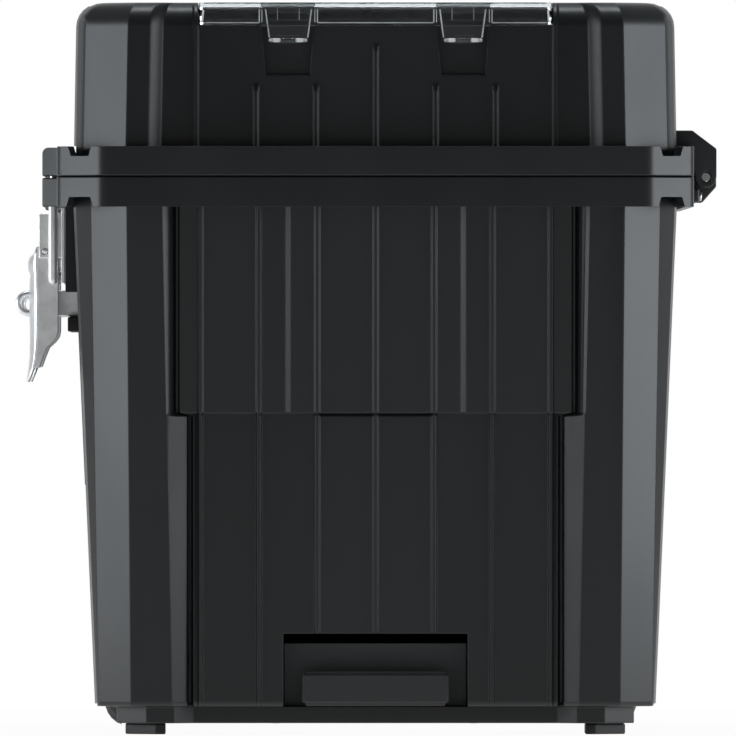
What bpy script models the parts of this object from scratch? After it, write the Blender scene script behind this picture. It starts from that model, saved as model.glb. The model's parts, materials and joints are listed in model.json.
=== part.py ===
"""Rolling tool case: a moulded chest with a hinged lid, draw latches, wheels and a tow handle.

Metres, +Z up. The near end, with the feet and the tow handle, faces -Y. The latches are on the
-X side, the hinges on the +X side and the wheels at the +Y end.
"""

import math

import bmesh
import bpy
from mathutils import Vector

# Fits and walls
FIT = 0.0003
SEAM_GAP = 0.0004
OVERLAP = 0.001
PAST = 0.02
WALL = 0.0035
FLOOR_THICKNESS = 0.004

# Heights, from the ground up
FOOT_HEIGHT = 0.0060
PLINTH_HEIGHT = 0.0097
BODY_HEIGHT = 0.2852
BODY_RIM_HEIGHT = 0.0172
LID_RIM_HEIGHT = 0.0169
LID_HEIGHT = 0.0990
END_STEP_HEIGHT = 0.1673
FRONT_STEP_HEIGHT = 0.1256
STEP_SLOPE = 0.0012
BOTTOM_EDGE = 0.002
TOP_ROUND = 0.0137

# Rim round the case
RIM_HALF_WIDTH = 0.1818
RIM_HALF_LENGTH = 0.3080
RIM_STAND = 0.0105
RIM_CHAMFER = 0.0258
RIM_BLEND = 0.0105
RIM_LIP = 0.0048
RIM_PLATE = 0.0044
LID_NOTCH_WIDTH = 0.0191
BODY_NOTCH_WIDTH = 0.0219
NOTCH_TAPER = 0.0019
NOTCH_DEPTH = 0.0056
NOTCH_ROUND = 0.0014

# Body walls
BODY_DRAFT = 0.0123
FACET_START_TOP = 0.0294
FACET_START_BOTTOM = 0.0195
FACET_END_TOP = 0.0088
FACET_END_BOTTOM = 0.0010
STRIP_SLOPE = 2.75
PILLAR_TOP = 0.0197
PILLAR_BOTTOM = 0.0230
UPPER_CHAMFER = 0.0082
CHAMFER_BULGE = 0.12
LOWER_CHAMFER = 0.0096
LOWER_CHAMFER_DEPTH = 0.0086
UPPER_GROOVE = 0.0017
LOWER_GROOVE = 0.0026
GROOVE_INSET = 0.0115
LOWER_INSET = 0.0085
BAY_INSET = 0.0062
PAD_INSET = 0.0032
PAD_SLOPE = 0.004
RIB_FOOT = 0.0017
RIB_CREST = 0.0011
RIB_HEIGHT = 0.0018
RIB_MARGIN = 0.0043
RIBS_PER_HALF = 3
SIDE_PILLAR = 0.080
SIDE_SLOPE = 0.006
SIDE_LOWER_INSET = 0.006
SIDE_UPPER_INSET = 0.004
FRONT_PANEL_RISE = 0.002

# Plinth under the body
PLINTH_SIDE_INSET = 0.0112
PLINTH_END_INSET = 0.0080
PLINTH_FACET = 0.0171
PLINTH_PILLAR = 0.0155
PLINTH_CHAMFER = 0.0115
PLINTH_PANEL_INSET = 0.011
FOOT_SIDE_INSET = 0.0050
FOOT_WIDTH = 0.0230
FOOT_LENGTH = 0.040
FOOT_FACET = 0.0173
POCKET_ROOF = 0.0155
POCKET_GAP = 0.010
POCKET_COUNT = 3

# Lid walls
LID_DRAFT = 0.0018
LID_FACET_START = 0.0286
LID_FACET_END = 0.0042
LID_PILLAR = 0.0121
LID_CHAMFER = 0.0080
LID_CHAMFER_BULGE = 0.05
LID_PANEL_INSET = 0.0080
LID_RIB_MARGIN = 0.0200
LID_RIB_DROP = 0.0463
LID_MIDDLE_RIB_DROP = 0.0235
RIB_RUNOUT = 0.004
LID_SIDE_INSET = 0.004
TOP_PANEL_DEPTH = 0.003
TOP_PANEL_MARGIN = 0.022
TOP_PANEL_COUNT = 5
TOP_PANEL_GAP = 0.008

# Seal in the lid's rim
SEAL_WIDTH = 0.004
SEAL_DEPTH = 0.0026
SEAL_OFFSET = 0.0065

# Organiser bins and their covers
COVER_HEIGHT = 0.0128
COVER_THICKNESS = 0.0025
COVER_LENGTH = 0.148
COVER_CLEARANCE = 0.0006
BIN_DEPTH = 0.050
BIN_RIM = 0.0065
COVER_PIN_RADIUS = 0.002
COVER_PIN_SETBACK = 0.0045
COVER_CORNER = 0.0034
COVER_PIN_SOCKET = 0.004
CLIP_SPREAD = 0.050
CLIP_TOP_WIDTH = 0.0269
CLIP_BOTTOM_WIDTH = 0.0214
CLIP_DROP = 0.0098
CLIP_POCKET_MARGIN = 0.0021
CLIP_POCKET_DROP = 0.0285
CLIP_POCKET_DEPTH = 0.0040
CLIP_CATCH_WIDTH = 0.0122
CLIP_CATCH_HEIGHT = 0.004
CLIP_CATCH_RISE = 0.0018
DIVIDER_THICKNESS = 0.002
DIVIDER_HEIGHT = 0.040
DIVIDER_ROWS = 2

# Hinges
HINGE_FROM_END = 0.118
HINGE_STAND = 0.0077
KNUCKLE_RADIUS = 0.0062
HINGE_PIN_RADIUS = 0.0025
HINGE_HALF = 0.0245
HINGE_MIDDLE_HALF = 0.0122
HINGE_RISE = 0.0267
HINGE_DROP = 0.0147
HINGE_CHAMFER_DROP = 0.0056
HINGE_FOOT_IN = 0.0019
HINGE_TOP_REACH = 0.0105
HINGE_PLATE = 0.0068
SCREW_HEAD_RADIUS = 0.003
SCREW_HEAD_HEIGHT = 0.0016
SCREW_RADIUS = 0.0015

# Latches
LATCH_FROM_END = 0.118
LATCH_PAD_HALF = 0.026
LATCH_PAD_STAND = 0.0060
LATCH_PAD_DROP = 0.0486
EYE_PAD_STAND = 0.0023
EYE_PAD_DROP = 0.0752
GUSSET_HALF = 0.010
GUSSET_STAND = 0.0070
GUSSET_HEIGHT = 0.0085
CHEEK_STAND = 0.0087
CHEEK_WIDTH = 0.009
CHEEK_ROUND = 0.0032
RIM_RECESS = 0.0028
BASE_THICKNESS = 0.002
BASE_HALF = 0.024
BASE_HEIGHT = 0.043
EAR_SPREAD = 0.0193
EAR_THICKNESS = 0.002
EAR_RADIUS = 0.004
EAR_REACH = 0.0035
EAR_RISE = 0.0213
LEVER_PIN_RADIUS = 0.0017
LEVER_PIVOT_OUT = 0.0116
LEVER_PIVOT_DROP = 0.0250
LEVER_HALF = 0.018
LEVER_SHEET = 0.0018
LEVER_STAND = 0.0075
LEVER_TOP = 0.0035
LEVER_LENGTH = 0.0682
LEVER_TIP = 0.0065
LEVER_FLARE = 0.0025
LEVER_DEPTH = 0.0160
LEVER_DEEP_LENGTH = 0.0462
LEVER_NOSE = 0.0050
BAIL_RADIUS = 0.0018
BAIL_SPREAD = 0.0226
BAIL_PIVOT_IN = 0.0047
BAIL_PIVOT_DROP = 0.0163
BAIL_BEND = 0.006
BAIL_END = 0.0076
HOOK_LEDGE = 0.0037
HOOK_THICKNESS = 0.002
HOOK_HALF = 0.0165
HOOK_LIP = 0.004
HOOK_LIP_THICKNESS = 0.0014
HOOK_SLACK = 0.0012
HOOK_ROOM = 0.0022
EYE_THICKNESS = 0.004
EYE_RADIUS = 0.0074
EYE_DROP = 0.0300
EYE_OUT = 0.0171
EYE_HOLE_RADIUS = 0.0035
EYE_HOLE_WALL = 0.0022
EYE_ROOT = 0.006
EYE_SLOT_MARGIN = 0.0015
RIVET_HEAD_RADIUS = 0.0025
RIVET_HEAD_HEIGHT = 0.0012
RIVET_RADIUS = 0.0013
RIVET_LENGTH = 0.004

# Tow handle and its tunnel
RECESS_HALF = 0.0525
RECESS_HEIGHT = 0.0414
GUIDE_SETBACK = 0.016
GUIDE_THICKNESS = 0.006
GUIDE_SLOT = 0.0055
GRIP_HALF = 0.0419
GRIP_HEIGHT = 0.0200
GRIP_FLOOR_GAP = 0.0005
GRIP_THICKNESS = 0.011
TUBE_RADIUS = 0.006
TUBE_SPREAD = 0.032
TUBE_SOCKET = 0.007
TUBE_WALL = 0.0012
TUNNEL_LENGTH = 0.462
SLIDER_LENGTH = 0.020
SLIDER_END_GAP = 0.010
TUNNEL_COVER = 0.003
COVER_LEDGE = 0.0092
COVER_SCREW_ROWS = 2

# Wheels
WHEEL_RADIUS = 0.075
WHEEL_WIDTH = 0.035
WHEEL_SIDE_INSET = 0.003
WHEEL_FROM_END = 0.0592
WELL_GAP = 0.007
WELL_SIDE_GAP = 0.003
TYRE_DEPTH = 0.015
TYRE_SHOULDER = 0.003
TYRE_SHOULDER_WIDTH = 0.007
RIM_BAND = 0.006
WEB_THICKNESS = 0.007
HUB_RADIUS = 0.014
AXLE_RADIUS = 0.006
AXLE_HEAD_RADIUS = 0.011
AXLE_HEAD = 0.004
AXLE_BOSS_RADIUS = 0.018
AXLE_BOSS = 0.008
HUB_CAP_RADIUS = 0.013
HUB_CAP_HEIGHT = 0.0035
HUB_CAP_SKIN = 0.0015
HUB_INSET = 0.004

# Facets on round pieces
WHEEL_SIDES = 32
PIN_SIDES = 16
SMALL_SIDES = 8
BLEND_STEPS = 3
CHAMFER_STEPS = 5
TOP_STEPS = 6

# Levels
PLINTH_BOTTOM = FOOT_HEIGHT + FIT
BODY_BOTTOM = PLINTH_BOTTOM + PLINTH_HEIGHT
FLOOR_TOP = BODY_BOTTOM + FLOOR_THICKNESS
RIM_BOTTOM = BODY_BOTTOM + BODY_HEIGHT
SEAM = RIM_BOTTOM + BODY_RIM_HEIGHT
LID_BOTTOM = SEAM + SEAM_GAP
LIP_TOP = LID_BOTTOM + LID_RIM_HEIGHT
LID_TOP = LID_BOTTOM + LID_HEIGHT
END_STEP = BODY_BOTTOM + END_STEP_HEIGHT
FRONT_STEP = BODY_BOTTOM + FRONT_STEP_HEIGHT

# Wall faces
RIM_SEAT = RIM_STAND + GROOVE_INSET + WALL + RIM_LIP
WALL_HALF_WIDTH = RIM_HALF_WIDTH - RIM_STAND
WALL_HALF_LENGTH = RIM_HALF_LENGTH - RIM_STAND
FOOT_HALF_WIDTH = WALL_HALF_WIDTH - BODY_DRAFT
FOOT_HALF_LENGTH = WALL_HALF_LENGTH - BODY_DRAFT
PILLAR_EDGE_TOP = WALL_HALF_WIDTH - FACET_START_TOP - PILLAR_TOP
PILLAR_EDGE_BOTTOM = FOOT_HALF_WIDTH - FACET_START_BOTTOM - PILLAR_BOTTOM
UPPER_GROOVE_HALF = PILLAR_EDGE_TOP - UPPER_CHAMFER
LOWER_GROOVE_HALF = PILLAR_EDGE_BOTTOM - LOWER_CHAMFER
BAY_HALF = UPPER_GROOVE_HALF - UPPER_GROOVE
PANEL_HALF = LOWER_GROOVE_HALF - LOWER_GROOVE
RIB_PITCH = (PANEL_HALF - RIB_MARGIN) / RIBS_PER_HALF
PAD_HALF = 1.5 * RIB_PITCH - PAD_SLOPE / 2
SIDE_PANEL_HALF = FOOT_HALF_LENGTH - SIDE_PILLAR
SIDE_RIB_PITCH = (SIDE_PANEL_HALF - RIB_MARGIN) / RIBS_PER_HALF
FRONT_PANEL_HALF = 1.75 * SIDE_RIB_PITCH
LID_PILLAR_EDGE = WALL_HALF_WIDTH - LID_FACET_START - LID_PILLAR
LID_PANEL_HALF = LID_PILLAR_EDGE - LID_CHAMFER
LID_RIB_PITCH = (LID_PANEL_HALF - LID_RIB_MARGIN) / RIBS_PER_HALF
LID_HALF_LENGTH = WALL_HALF_LENGTH - LID_DRAFT
LID_PANEL_FACE = LID_HALF_LENGTH - LID_PANEL_INSET
LATCH_Y = RIM_HALF_LENGTH - LATCH_FROM_END
HINGE_Y = RIM_HALF_LENGTH - HINGE_FROM_END
HINGE_X = RIM_HALF_WIDTH + HINGE_STAND
HINGE_Z = (SEAM + LID_BOTTOM) / 2
HINGE_REACH = HINGE_X + KNUCKLE_RADIUS

# Latch places, seen from the near end
LATCH_PAD_FACE = WALL_HALF_WIDTH + LATCH_PAD_STAND
LEVER_X = -(LATCH_PAD_FACE + LEVER_PIVOT_OUT)
LEVER_Z = RIM_BOTTOM - LEVER_PIVOT_DROP
BAIL_X = LEVER_X + BAIL_PIVOT_IN
BAIL_Z = LEVER_Z - BAIL_PIVOT_DROP
LEVER_FACE = LEVER_X - LEVER_STAND
EYE_Z = LEVER_Z - EYE_DROP
EYE_TIP = LEVER_X - EYE_OUT
EYE_CENTRE = EYE_TIP + EYE_RADIUS
EYE_HOLE_X = EYE_TIP + EYE_HOLE_WALL + EYE_HOLE_RADIUS
HOOK_TOP = LID_BOTTOM + HOOK_LEDGE
RUNG_Z = HOOK_TOP + HOOK_SLACK + BAIL_RADIUS
HOOK_FACE = RIM_HALF_WIDTH - RIM_RECESS

# Tow handle and wheel places
RECESS_FLOOR = BODY_BOTTOM - FIT
RECESS_TOP = BODY_BOTTOM + RECESS_HEIGHT
PLINTH_FACE = -(FOOT_HALF_LENGTH - PLINTH_END_INSET - PLINTH_PANEL_INSET)
GUIDE_FACE = PLINTH_FACE + GUIDE_SETBACK
GUIDE_BACK = GUIDE_FACE + GUIDE_THICKNESS
TUNNEL_END = GUIDE_FACE + TUNNEL_LENGTH
GRIP_BOTTOM = RECESS_FLOOR + GRIP_FLOOR_GAP
TUBE_Z = GRIP_BOTTOM + GRIP_HEIGHT / 2
TUBE_START = PLINTH_FACE - TUBE_SOCKET
SLIDER_END = TUNNEL_END - SLIDER_END_GAP
COVER_BOTTOM = PLINTH_BOTTOM + FIT
COVER_TOP = COVER_BOTTOM + TUNNEL_COVER
WHEEL_Y = FOOT_HALF_LENGTH - WHEEL_FROM_END
WHEEL_OUTER = FOOT_HALF_WIDTH - WHEEL_SIDE_INSET
WHEEL_INNER = WHEEL_OUTER - WHEEL_WIDTH
WELL_WALL = WHEEL_INNER - WELL_SIDE_GAP
WELL_RADIUS = WHEEL_RADIUS + WELL_GAP

# The case's middle is off the origin, because the latches reach out further than the hinges
CASE_SHIFT = Vector(((-EYE_TIP - HINGE_REACH) / 2, 0, 0))

NEAR, FAR = -1, 1
ENDS = (("near", NEAR), ("far", FAR))
SIDES = (("left", -1), ("right", 1))


def clear_scene():
    """Remove what the new file holds."""
    for item in list(bpy.data.objects):
        bpy.data.objects.remove(item, do_unlink=True)


def make_finish(name, colour, roughness, metallic=0.0, alpha=1.0):
    """A plain Principled material."""
    finish = bpy.data.materials.new(name)
    finish.use_nodes = True
    shader = finish.node_tree.nodes["Principled BSDF"]
    shader.inputs["Base Color"].default_value = (*colour, 1.0)
    shader.inputs["Roughness"].default_value = roughness
    shader.inputs["Metallic"].default_value = metallic
    shader.inputs["Alpha"].default_value = alpha
    finish.diffuse_color = (*colour, alpha)
    return finish


def blend(low, high, share):
    """The value at a share of the way from low to high."""
    return low + (high - low) * share


def mirrored(half):
    """A whole profile from the half right of its middle."""
    return [(-side, inset) for side, inset in reversed(half)] + half


def arc(centre, radius, start, end, steps):
    """Points along an arc, with its angles in degrees."""
    points = []
    for step in range(steps + 1):
        angle = math.radians(blend(start, end, step / steps))
        points.append((centre[0] + radius * math.cos(angle), centre[1] + radius * math.sin(angle)))
    return points


# Mesh makers: each adds one closed shape to a mesh being built
def add_loft(mesh, rings, closed=False):
    """Skin a stack of rings: capped at both ends, or closed into a loop."""
    loops = [[mesh.verts.new(point) for point in ring] for ring in rings]
    count = len(rings[0])
    pairs = list(zip(loops, loops[1:]))
    if closed:
        pairs.append((loops[-1], loops[0]))
    else:
        mesh.faces.new(list(reversed(loops[0])))
        mesh.faces.new(loops[-1])
    for low, high in pairs:
        for index in range(count):
            following = (index + 1) % count
            mesh.faces.new((low[index], low[following], high[following], high[index]))


def add_box(mesh, x, y, z):
    """A box between pairs of limits along each axis."""
    low = [(x[0], y[0]), (x[1], y[0]), (x[1], y[1]), (x[0], y[1])]
    add_loft(mesh, [[(*point, z[0]) for point in low], [(*point, z[1]) for point in low]])


def add_prism(mesh, outline, axis, limits):
    """An outline pushed along an axis: its points are the two other axes in order."""
    rings = []
    for limit in limits:
        if axis == "x":
            rings.append([(limit, a, b) for a, b in outline])
        elif axis == "y":
            rings.append([(a, limit, b) for a, b in outline])
        else:
            rings.append([(a, b, limit) for a, b in outline])
    add_loft(mesh, rings)


def add_turned(mesh, profile, centre, axis, sides):
    """A closed profile of (along, radius) points turned about an axis through a centre."""
    rings = []
    for side in range(sides):
        angle = 2 * math.pi * side / sides
        ring = []
        for along, radius in profile:
            across = radius * math.cos(angle)
            up = radius * math.sin(angle)
            if axis == "x":
                place = (along, centre[1] + across, centre[2] + up)
            elif axis == "y":
                place = (centre[0] + across, along, centre[2] + up)
            else:
                place = (centre[0] + across, centre[1] + up, along)
            ring.append(place)
        rings.append(ring)
    add_loft(mesh, rings, closed=True)
    bmesh.ops.remove_doubles(mesh, verts=mesh.verts, dist=FIT / 100)
    flat = [face for face in mesh.faces if face.calc_area() < FIT * FIT / 1000]
    bmesh.ops.delete(mesh, geom=flat, context="FACES_ONLY")
    loose = [edge for edge in mesh.edges if not edge.link_faces]
    bmesh.ops.delete(mesh, geom=loose, context="EDGES")


def add_rod(mesh, centre, axis, limits, radius, sides):
    """A round bar along an axis."""
    first, second = {"x": (1, 2), "y": (0, 2), "z": (0, 1)}[axis]
    outline = arc((centre[first], centre[second]), radius, 0, 360 - 360 / sides, sides - 1)
    add_prism(mesh, outline, axis, limits)


def add_wire(mesh, path, radius, sides):
    """A round wire along a path that lies in a plane of constant x."""
    rings = []
    face = Vector((1, 0, 0))
    points = [Vector(point) for point in path]
    for index, point in enumerate(points):
        before = points[max(index - 1, 0)]
        after = points[min(index + 1, len(points) - 1)]
        along = (after - before).normalized()
        across = along.cross(face)
        ring = []
        for side in range(sides):
            angle = 2 * math.pi * side / sides
            ring.append(point + radius * (math.cos(angle) * face + math.sin(angle) * across))
        rings.append(ring)
    add_loft(mesh, rings)


# Objects and cuts
def place_piece(name, mesh, finish=None, origin=(0, 0, 0), smooth=None):
    """Turn a built mesh into an object with its origin at a point of the case."""
    bmesh.ops.recalc_face_normals(mesh, faces=mesh.faces)
    origin = Vector(origin)
    bmesh.ops.translate(mesh, verts=mesh.verts, vec=-origin)
    data = bpy.data.meshes.new(name)
    mesh.to_mesh(data)
    mesh.free()
    if smooth is not None:
        data.shade_smooth()
        data.set_sharp_from_angle(angle=math.radians(smooth))
    piece = bpy.data.objects.new(name, data)
    piece.location = origin + CASE_SHIFT
    bpy.context.scene.collection.objects.link(piece)
    if finish is None:
        piece.hide_render = True
        piece.display_type = "WIRE"
    else:
        data.materials.append(finish)
    return piece


def make_tool(name, builder, *values):
    """A hidden shape that cuts or joins other pieces."""
    mesh = bmesh.new()
    builder(mesh, *values)
    return place_piece(name, mesh)


def shape_with(piece, tool, operation):
    """Join a hidden shape to a piece, or cut it out."""
    change = piece.modifiers.new(tool.name, "BOOLEAN")
    change.operation = operation
    change.solver = "EXACT"
    change.object = tool


def join(piece, tool):
    shape_with(piece, tool, "UNION")


def cut(piece, tool):
    shape_with(piece, tool, "DIFFERENCE")


# Outlines seen from above
def offset_outline(outline, distance):
    """Move every edge of a closed outline inwards and join them again."""
    count = len(outline)
    lines = []
    for index in range(count):
        start = Vector(outline[index])
        along = (Vector(outline[(index + 1) % count]) - start).normalized()
        inward = Vector((-along.y, along.x))
        lines.append((start + inward * distance, along))
    moved = []
    for index in range(count):
        (first, first_along), (second, second_along) = lines[index - 1], lines[index]
        turn = first_along.cross(second_along)
        if abs(turn) < 1e-6:
            moved.append(tuple(second))
            continue
        length = (second - first).cross(second_along) / turn
        moved.append(tuple(first + first_along * length))
    return moved


def case_outline(half_width, half_length, end_half, front_half, back_half):
    """Walk round the case from half profiles of its end and side walls."""
    end = mirrored(end_half)
    front = mirrored(front_half)
    back = mirrored(back_half)
    outline = [(side, -(half_length - inset)) for side, inset in end]
    outline += [(half_width - inset, side) for side, inset in back]
    outline += [(side, half_length - inset) for side, inset in reversed(end)]
    outline += [(-(half_width - inset), side) for side, inset in reversed(front)]
    return outline


def rib(centre, base, height):
    """Four points across a rib on a panel."""
    return [(centre - RIB_FOOT, base), (centre - RIB_CREST, base - height),
            (centre + RIB_CREST, base - height), (centre + RIB_FOOT, base)]


def corner(half_width, facet_start, facet_end):
    """The corner facet and the narrow strip that turns into the side wall."""
    start = half_width - facet_start
    end = half_width - facet_end
    depth = end - start
    return [(start, 0.0), (end, depth), (half_width, depth + facet_end * STRIP_SLOPE)]


def chamfer(inner, inner_inset, outer, bulge):
    """The slope from a panel's edge out to its pillar, bent by a bulge in its middle."""
    points = []
    for step in range(CHAMFER_STEPS + 1):
        share = step / CHAMFER_STEPS
        bend = 4.5 * bulge * share * (1 - share)
        points.append((blend(inner, outer, share - bend), blend(inner_inset, 0.0, share + bend / 2)))
    return points


def body_share(height):
    """How far up the tapered body a level is, from 0 at its bottom to 1 under the rim."""
    return (height - BODY_BOTTOM) / BODY_HEIGHT


def body_sizes(height):
    """Half width, half length, pillar edge and corner of the body at a level."""
    share = body_share(height)
    half_width = blend(FOOT_HALF_WIDTH, WALL_HALF_WIDTH, share)
    half_length = blend(FOOT_HALF_LENGTH, WALL_HALF_LENGTH, share)
    edge = blend(PILLAR_EDGE_BOTTOM, PILLAR_EDGE_TOP, share)
    facets = corner(half_width, blend(FACET_START_BOTTOM, FACET_START_TOP, share),
                    blend(FACET_END_BOTTOM, FACET_END_TOP, share))
    return half_width, half_length, edge, facets


def body_end_half(edge, facets, upper):
    """Half of the body's end wall: ribs, centre pad, bay, groove, chamfer, pillar and corner."""
    pad = PAD_INSET if upper else LOWER_INSET
    bay = BAY_INSET if upper else LOWER_INSET
    panel = BAY_HALF if upper else PANEL_HALF
    groove = UPPER_GROOVE_HALF if upper else LOWER_GROOVE_HALF
    half = rib(0.0, pad, RIB_HEIGHT)[2:] + rib(RIB_PITCH, pad, RIB_HEIGHT)
    half += [(PAD_HALF, pad), (PAD_HALF + PAD_SLOPE, bay)]
    for number in range(2, RIBS_PER_HALF + 1):
        half += rib(number * RIB_PITCH, bay, RIB_HEIGHT)
    half += [(panel, bay), (panel + FIT, GROOVE_INSET), (groove, GROOVE_INSET)]
    if upper:
        half += chamfer(groove + FIT, GROOVE_INSET - FIT, edge, CHAMFER_BULGE)
    else:
        half += chamfer(groove + FIT, LOWER_CHAMFER_DEPTH, edge, 0.0)
    return half + facets


def side_half(inset, raised):
    """Half of a long wall's ribbed panel, up to the pillar at its end."""
    half = []
    for number in range(RIBS_PER_HALF + 1):
        on_panel = raised and number * SIDE_RIB_PITCH < FRONT_PANEL_HALF
        base = -FRONT_PANEL_RISE if on_panel else inset
        points = rib(number * SIDE_RIB_PITCH, base, 0.0 if on_panel else RIB_HEIGHT)
        half += points[2:] if number == 0 else points
        if number == 1:
            half += [(FRONT_PANEL_HALF, base), (FRONT_PANEL_HALF + FRONT_PANEL_RISE, inset)]
    return half + [(SIDE_PANEL_HALF, inset), (SIDE_PANEL_HALF + SIDE_SLOPE, 0.0)]


def body_ring(height, end_upper, front_upper, edge_inset=0.0):
    """The body's outline at a level."""
    half_width, half_length, edge, facets = body_sizes(height)
    back = side_half(SIDE_UPPER_INSET if end_upper else SIDE_LOWER_INSET, False)
    front = side_half(SIDE_UPPER_INSET if front_upper else SIDE_LOWER_INSET, front_upper)
    end = body_end_half(edge, facets, end_upper)
    outline = case_outline(half_width - edge_inset, half_length - edge_inset, end, front, back)
    return [(x, y, height) for x, y in outline]


def cavity_outline(half_width, half_length, panel, panel_inset, edge, facets):
    """The smooth outline inside the case's wall."""
    end = [(panel, panel_inset), (edge, 0.0)] + facets
    side = [(SIDE_PANEL_HALF, SIDE_LOWER_INSET), (SIDE_PANEL_HALF + SIDE_SLOPE, 0.0)]
    return offset_outline(case_outline(half_width, half_length, end, side, side), WALL)


def rim_outline(inset):
    """The rim's outline, with blended corner facets, moved inwards by an inset."""
    half_x = RIM_HALF_WIDTH - inset
    half_y = RIM_HALF_LENGTH - inset
    leg = RIM_CHAMFER - inset * (2 - math.sqrt(2))
    radius = max(RIM_BLEND - inset, BOTTOM_EDGE)
    run = radius * math.tan(math.radians(22.5))
    corner_points = []
    start = (half_x - radius, half_y - leg - run)
    corner_points += arc(start, radius, 0, 45, BLEND_STEPS)
    end = (half_x - leg - run, half_y - radius)
    corner_points += arc(end, radius, 45, 90, BLEND_STEPS)
    outline = list(corner_points)
    outline += [(-x, y) for x, y in reversed(corner_points)]
    outline += [(-x, -y) for x, y in corner_points]
    outline += [(x, -y) for x, y in reversed(corner_points)]
    return outline


def add_rim(mesh, profile):
    """A closed band round the case: its profile points are (inset, height)."""
    rings = [[(x, y, height) for x, y in rim_outline(inset)] for inset, height in profile]
    add_loft(mesh, rings, closed=True)


# Body shell
def add_body_walls(mesh):
    top = SEAM - SEAM_GAP
    levels = (
        (BODY_BOTTOM, False, False, BOTTOM_EDGE),
        (BODY_BOTTOM + BOTTOM_EDGE, False, False, 0.0),
        (FRONT_STEP - STEP_SLOPE, False, False, 0.0),
        (FRONT_STEP, False, True, 0.0),
        (END_STEP - STEP_SLOPE, False, True, 0.0),
        (END_STEP, True, True, 0.0),
        (top, True, True, 0.0),
    )
    add_loft(mesh, [body_ring(*level) for level in levels])


def add_body_rim(mesh):
    add_rim(mesh, ((0.0, RIM_BOTTOM), (0.0, SEAM), (RIM_SEAT, SEAM), (RIM_SEAT, SEAM - RIM_PLATE),
                   (RIM_LIP, SEAM - RIM_PLATE), (RIM_LIP, RIM_BOTTOM)))


def add_body_cavity(mesh):
    rings = []
    for height, groove in ((FLOOR_TOP, LOWER_GROOVE_HALF), (SEAM + PAST, UPPER_GROOVE_HALF)):
        half_width, half_length, edge, facets = body_sizes(height)
        outline = cavity_outline(half_width, half_length, groove, GROOVE_INSET, edge, facets)
        rings.append([(x, y, height) for x, y in outline])
    add_loft(mesh, rings)


def plinth_outline():
    half_width = FOOT_HALF_WIDTH - PLINTH_SIDE_INSET
    half_length = FOOT_HALF_LENGTH - PLINTH_END_INSET
    start = half_width - PLINTH_FACET
    edge = start - PLINTH_PILLAR
    end = [(edge - PLINTH_CHAMFER, PLINTH_PANEL_INSET), (edge, 0.0), (start, 0.0),
           (half_width, PLINTH_FACET)]
    side = [(SIDE_PANEL_HALF, SIDE_LOWER_INSET), (SIDE_PANEL_HALF + SIDE_SLOPE, 0.0)]
    return case_outline(half_width, half_length, end, side, side)


def add_plinth(mesh):
    add_prism(mesh, plinth_outline(), "z", (PLINTH_BOTTOM, BODY_BOTTOM + OVERLAP))


def add_pockets(mesh):
    """Hollows under the floor, between the tunnel and the side walls."""
    inner = RECESS_HALF + COVER_LEDGE + WALL
    outer = WELL_WALL - WALL
    start = GUIDE_BACK
    end = WHEEL_Y - WELL_RADIUS - POCKET_GAP
    length = (end - start - POCKET_GAP * (POCKET_COUNT - 1)) / POCKET_COUNT
    for number in range(POCKET_COUNT):
        low = start + number * (length + POCKET_GAP)
        for sign in (-1, 1):
            limits = sorted((sign * inner, sign * outer))
            add_box(mesh, limits, (low, low + length), (PLINTH_BOTTOM - PAST, POCKET_ROOF))


def add_tunnel(mesh, wall):
    """The space of the tow handle, or with a wall the hump over it inside the case."""
    end = TUNNEL_END + wall
    add_box(mesh, (-RECESS_HALF - wall, RECESS_HALF + wall), (-RIM_HALF_LENGTH - PAST, end),
            (RECESS_FLOOR, RECESS_TOP + wall))


def add_tunnel_mouth(mesh):
    """The opening under the tunnel, with a ledge for its cover."""
    add_box(mesh, (-RECESS_HALF, RECESS_HALF), (GUIDE_BACK + WALL, TUNNEL_END),
            (PLINTH_BOTTOM - PAST, RECESS_FLOOR + OVERLAP))


def add_cover_ledge(mesh):
    side = RECESS_HALF + COVER_LEDGE
    add_box(mesh, (-side, side), (GUIDE_BACK + WALL - COVER_LEDGE, TUNNEL_END + COVER_LEDGE),
            (PLINTH_BOTTOM - PAST, COVER_TOP + FIT))


def add_wells(mesh, wall):
    """The wheel arches, open below, or with a wall the humps over them inside the case."""
    radius = WELL_RADIUS + wall
    low = PLINTH_BOTTOM - PAST
    back = WHEEL_Y + radius + PAST
    outline = [(WHEEL_Y - radius, low), (back, low), (back, WHEEL_RADIUS)]
    outline += arc((WHEEL_Y, WHEEL_RADIUS), radius, 0, 180, WHEEL_SIDES // 2)
    for name, sign in SIDES:
        limits = sorted((sign * (WELL_WALL - wall), sign * (RIM_HALF_WIDTH + PAST)))
        add_prism(mesh, outline, "x", limits)


def add_axle_bosses(mesh):
    for name, sign in SIDES:
        limits = sorted((sign * (WELL_WALL - WALL - AXLE_BOSS), sign * (WELL_WALL - OVERLAP)))
        add_rod(mesh, (0, WHEEL_Y, WHEEL_RADIUS), "x", limits, AXLE_BOSS_RADIUS, PIN_SIDES)


def add_axle_bores(mesh):
    for name, sign in SIDES:
        limits = sorted((sign * (WELL_WALL - PAST - AXLE_BOSS), sign * (WELL_WALL + PAST)))
        add_rod(mesh, (0, WHEEL_Y, WHEEL_RADIUS), "x", limits, AXLE_RADIUS + FIT, PIN_SIDES)


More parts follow.
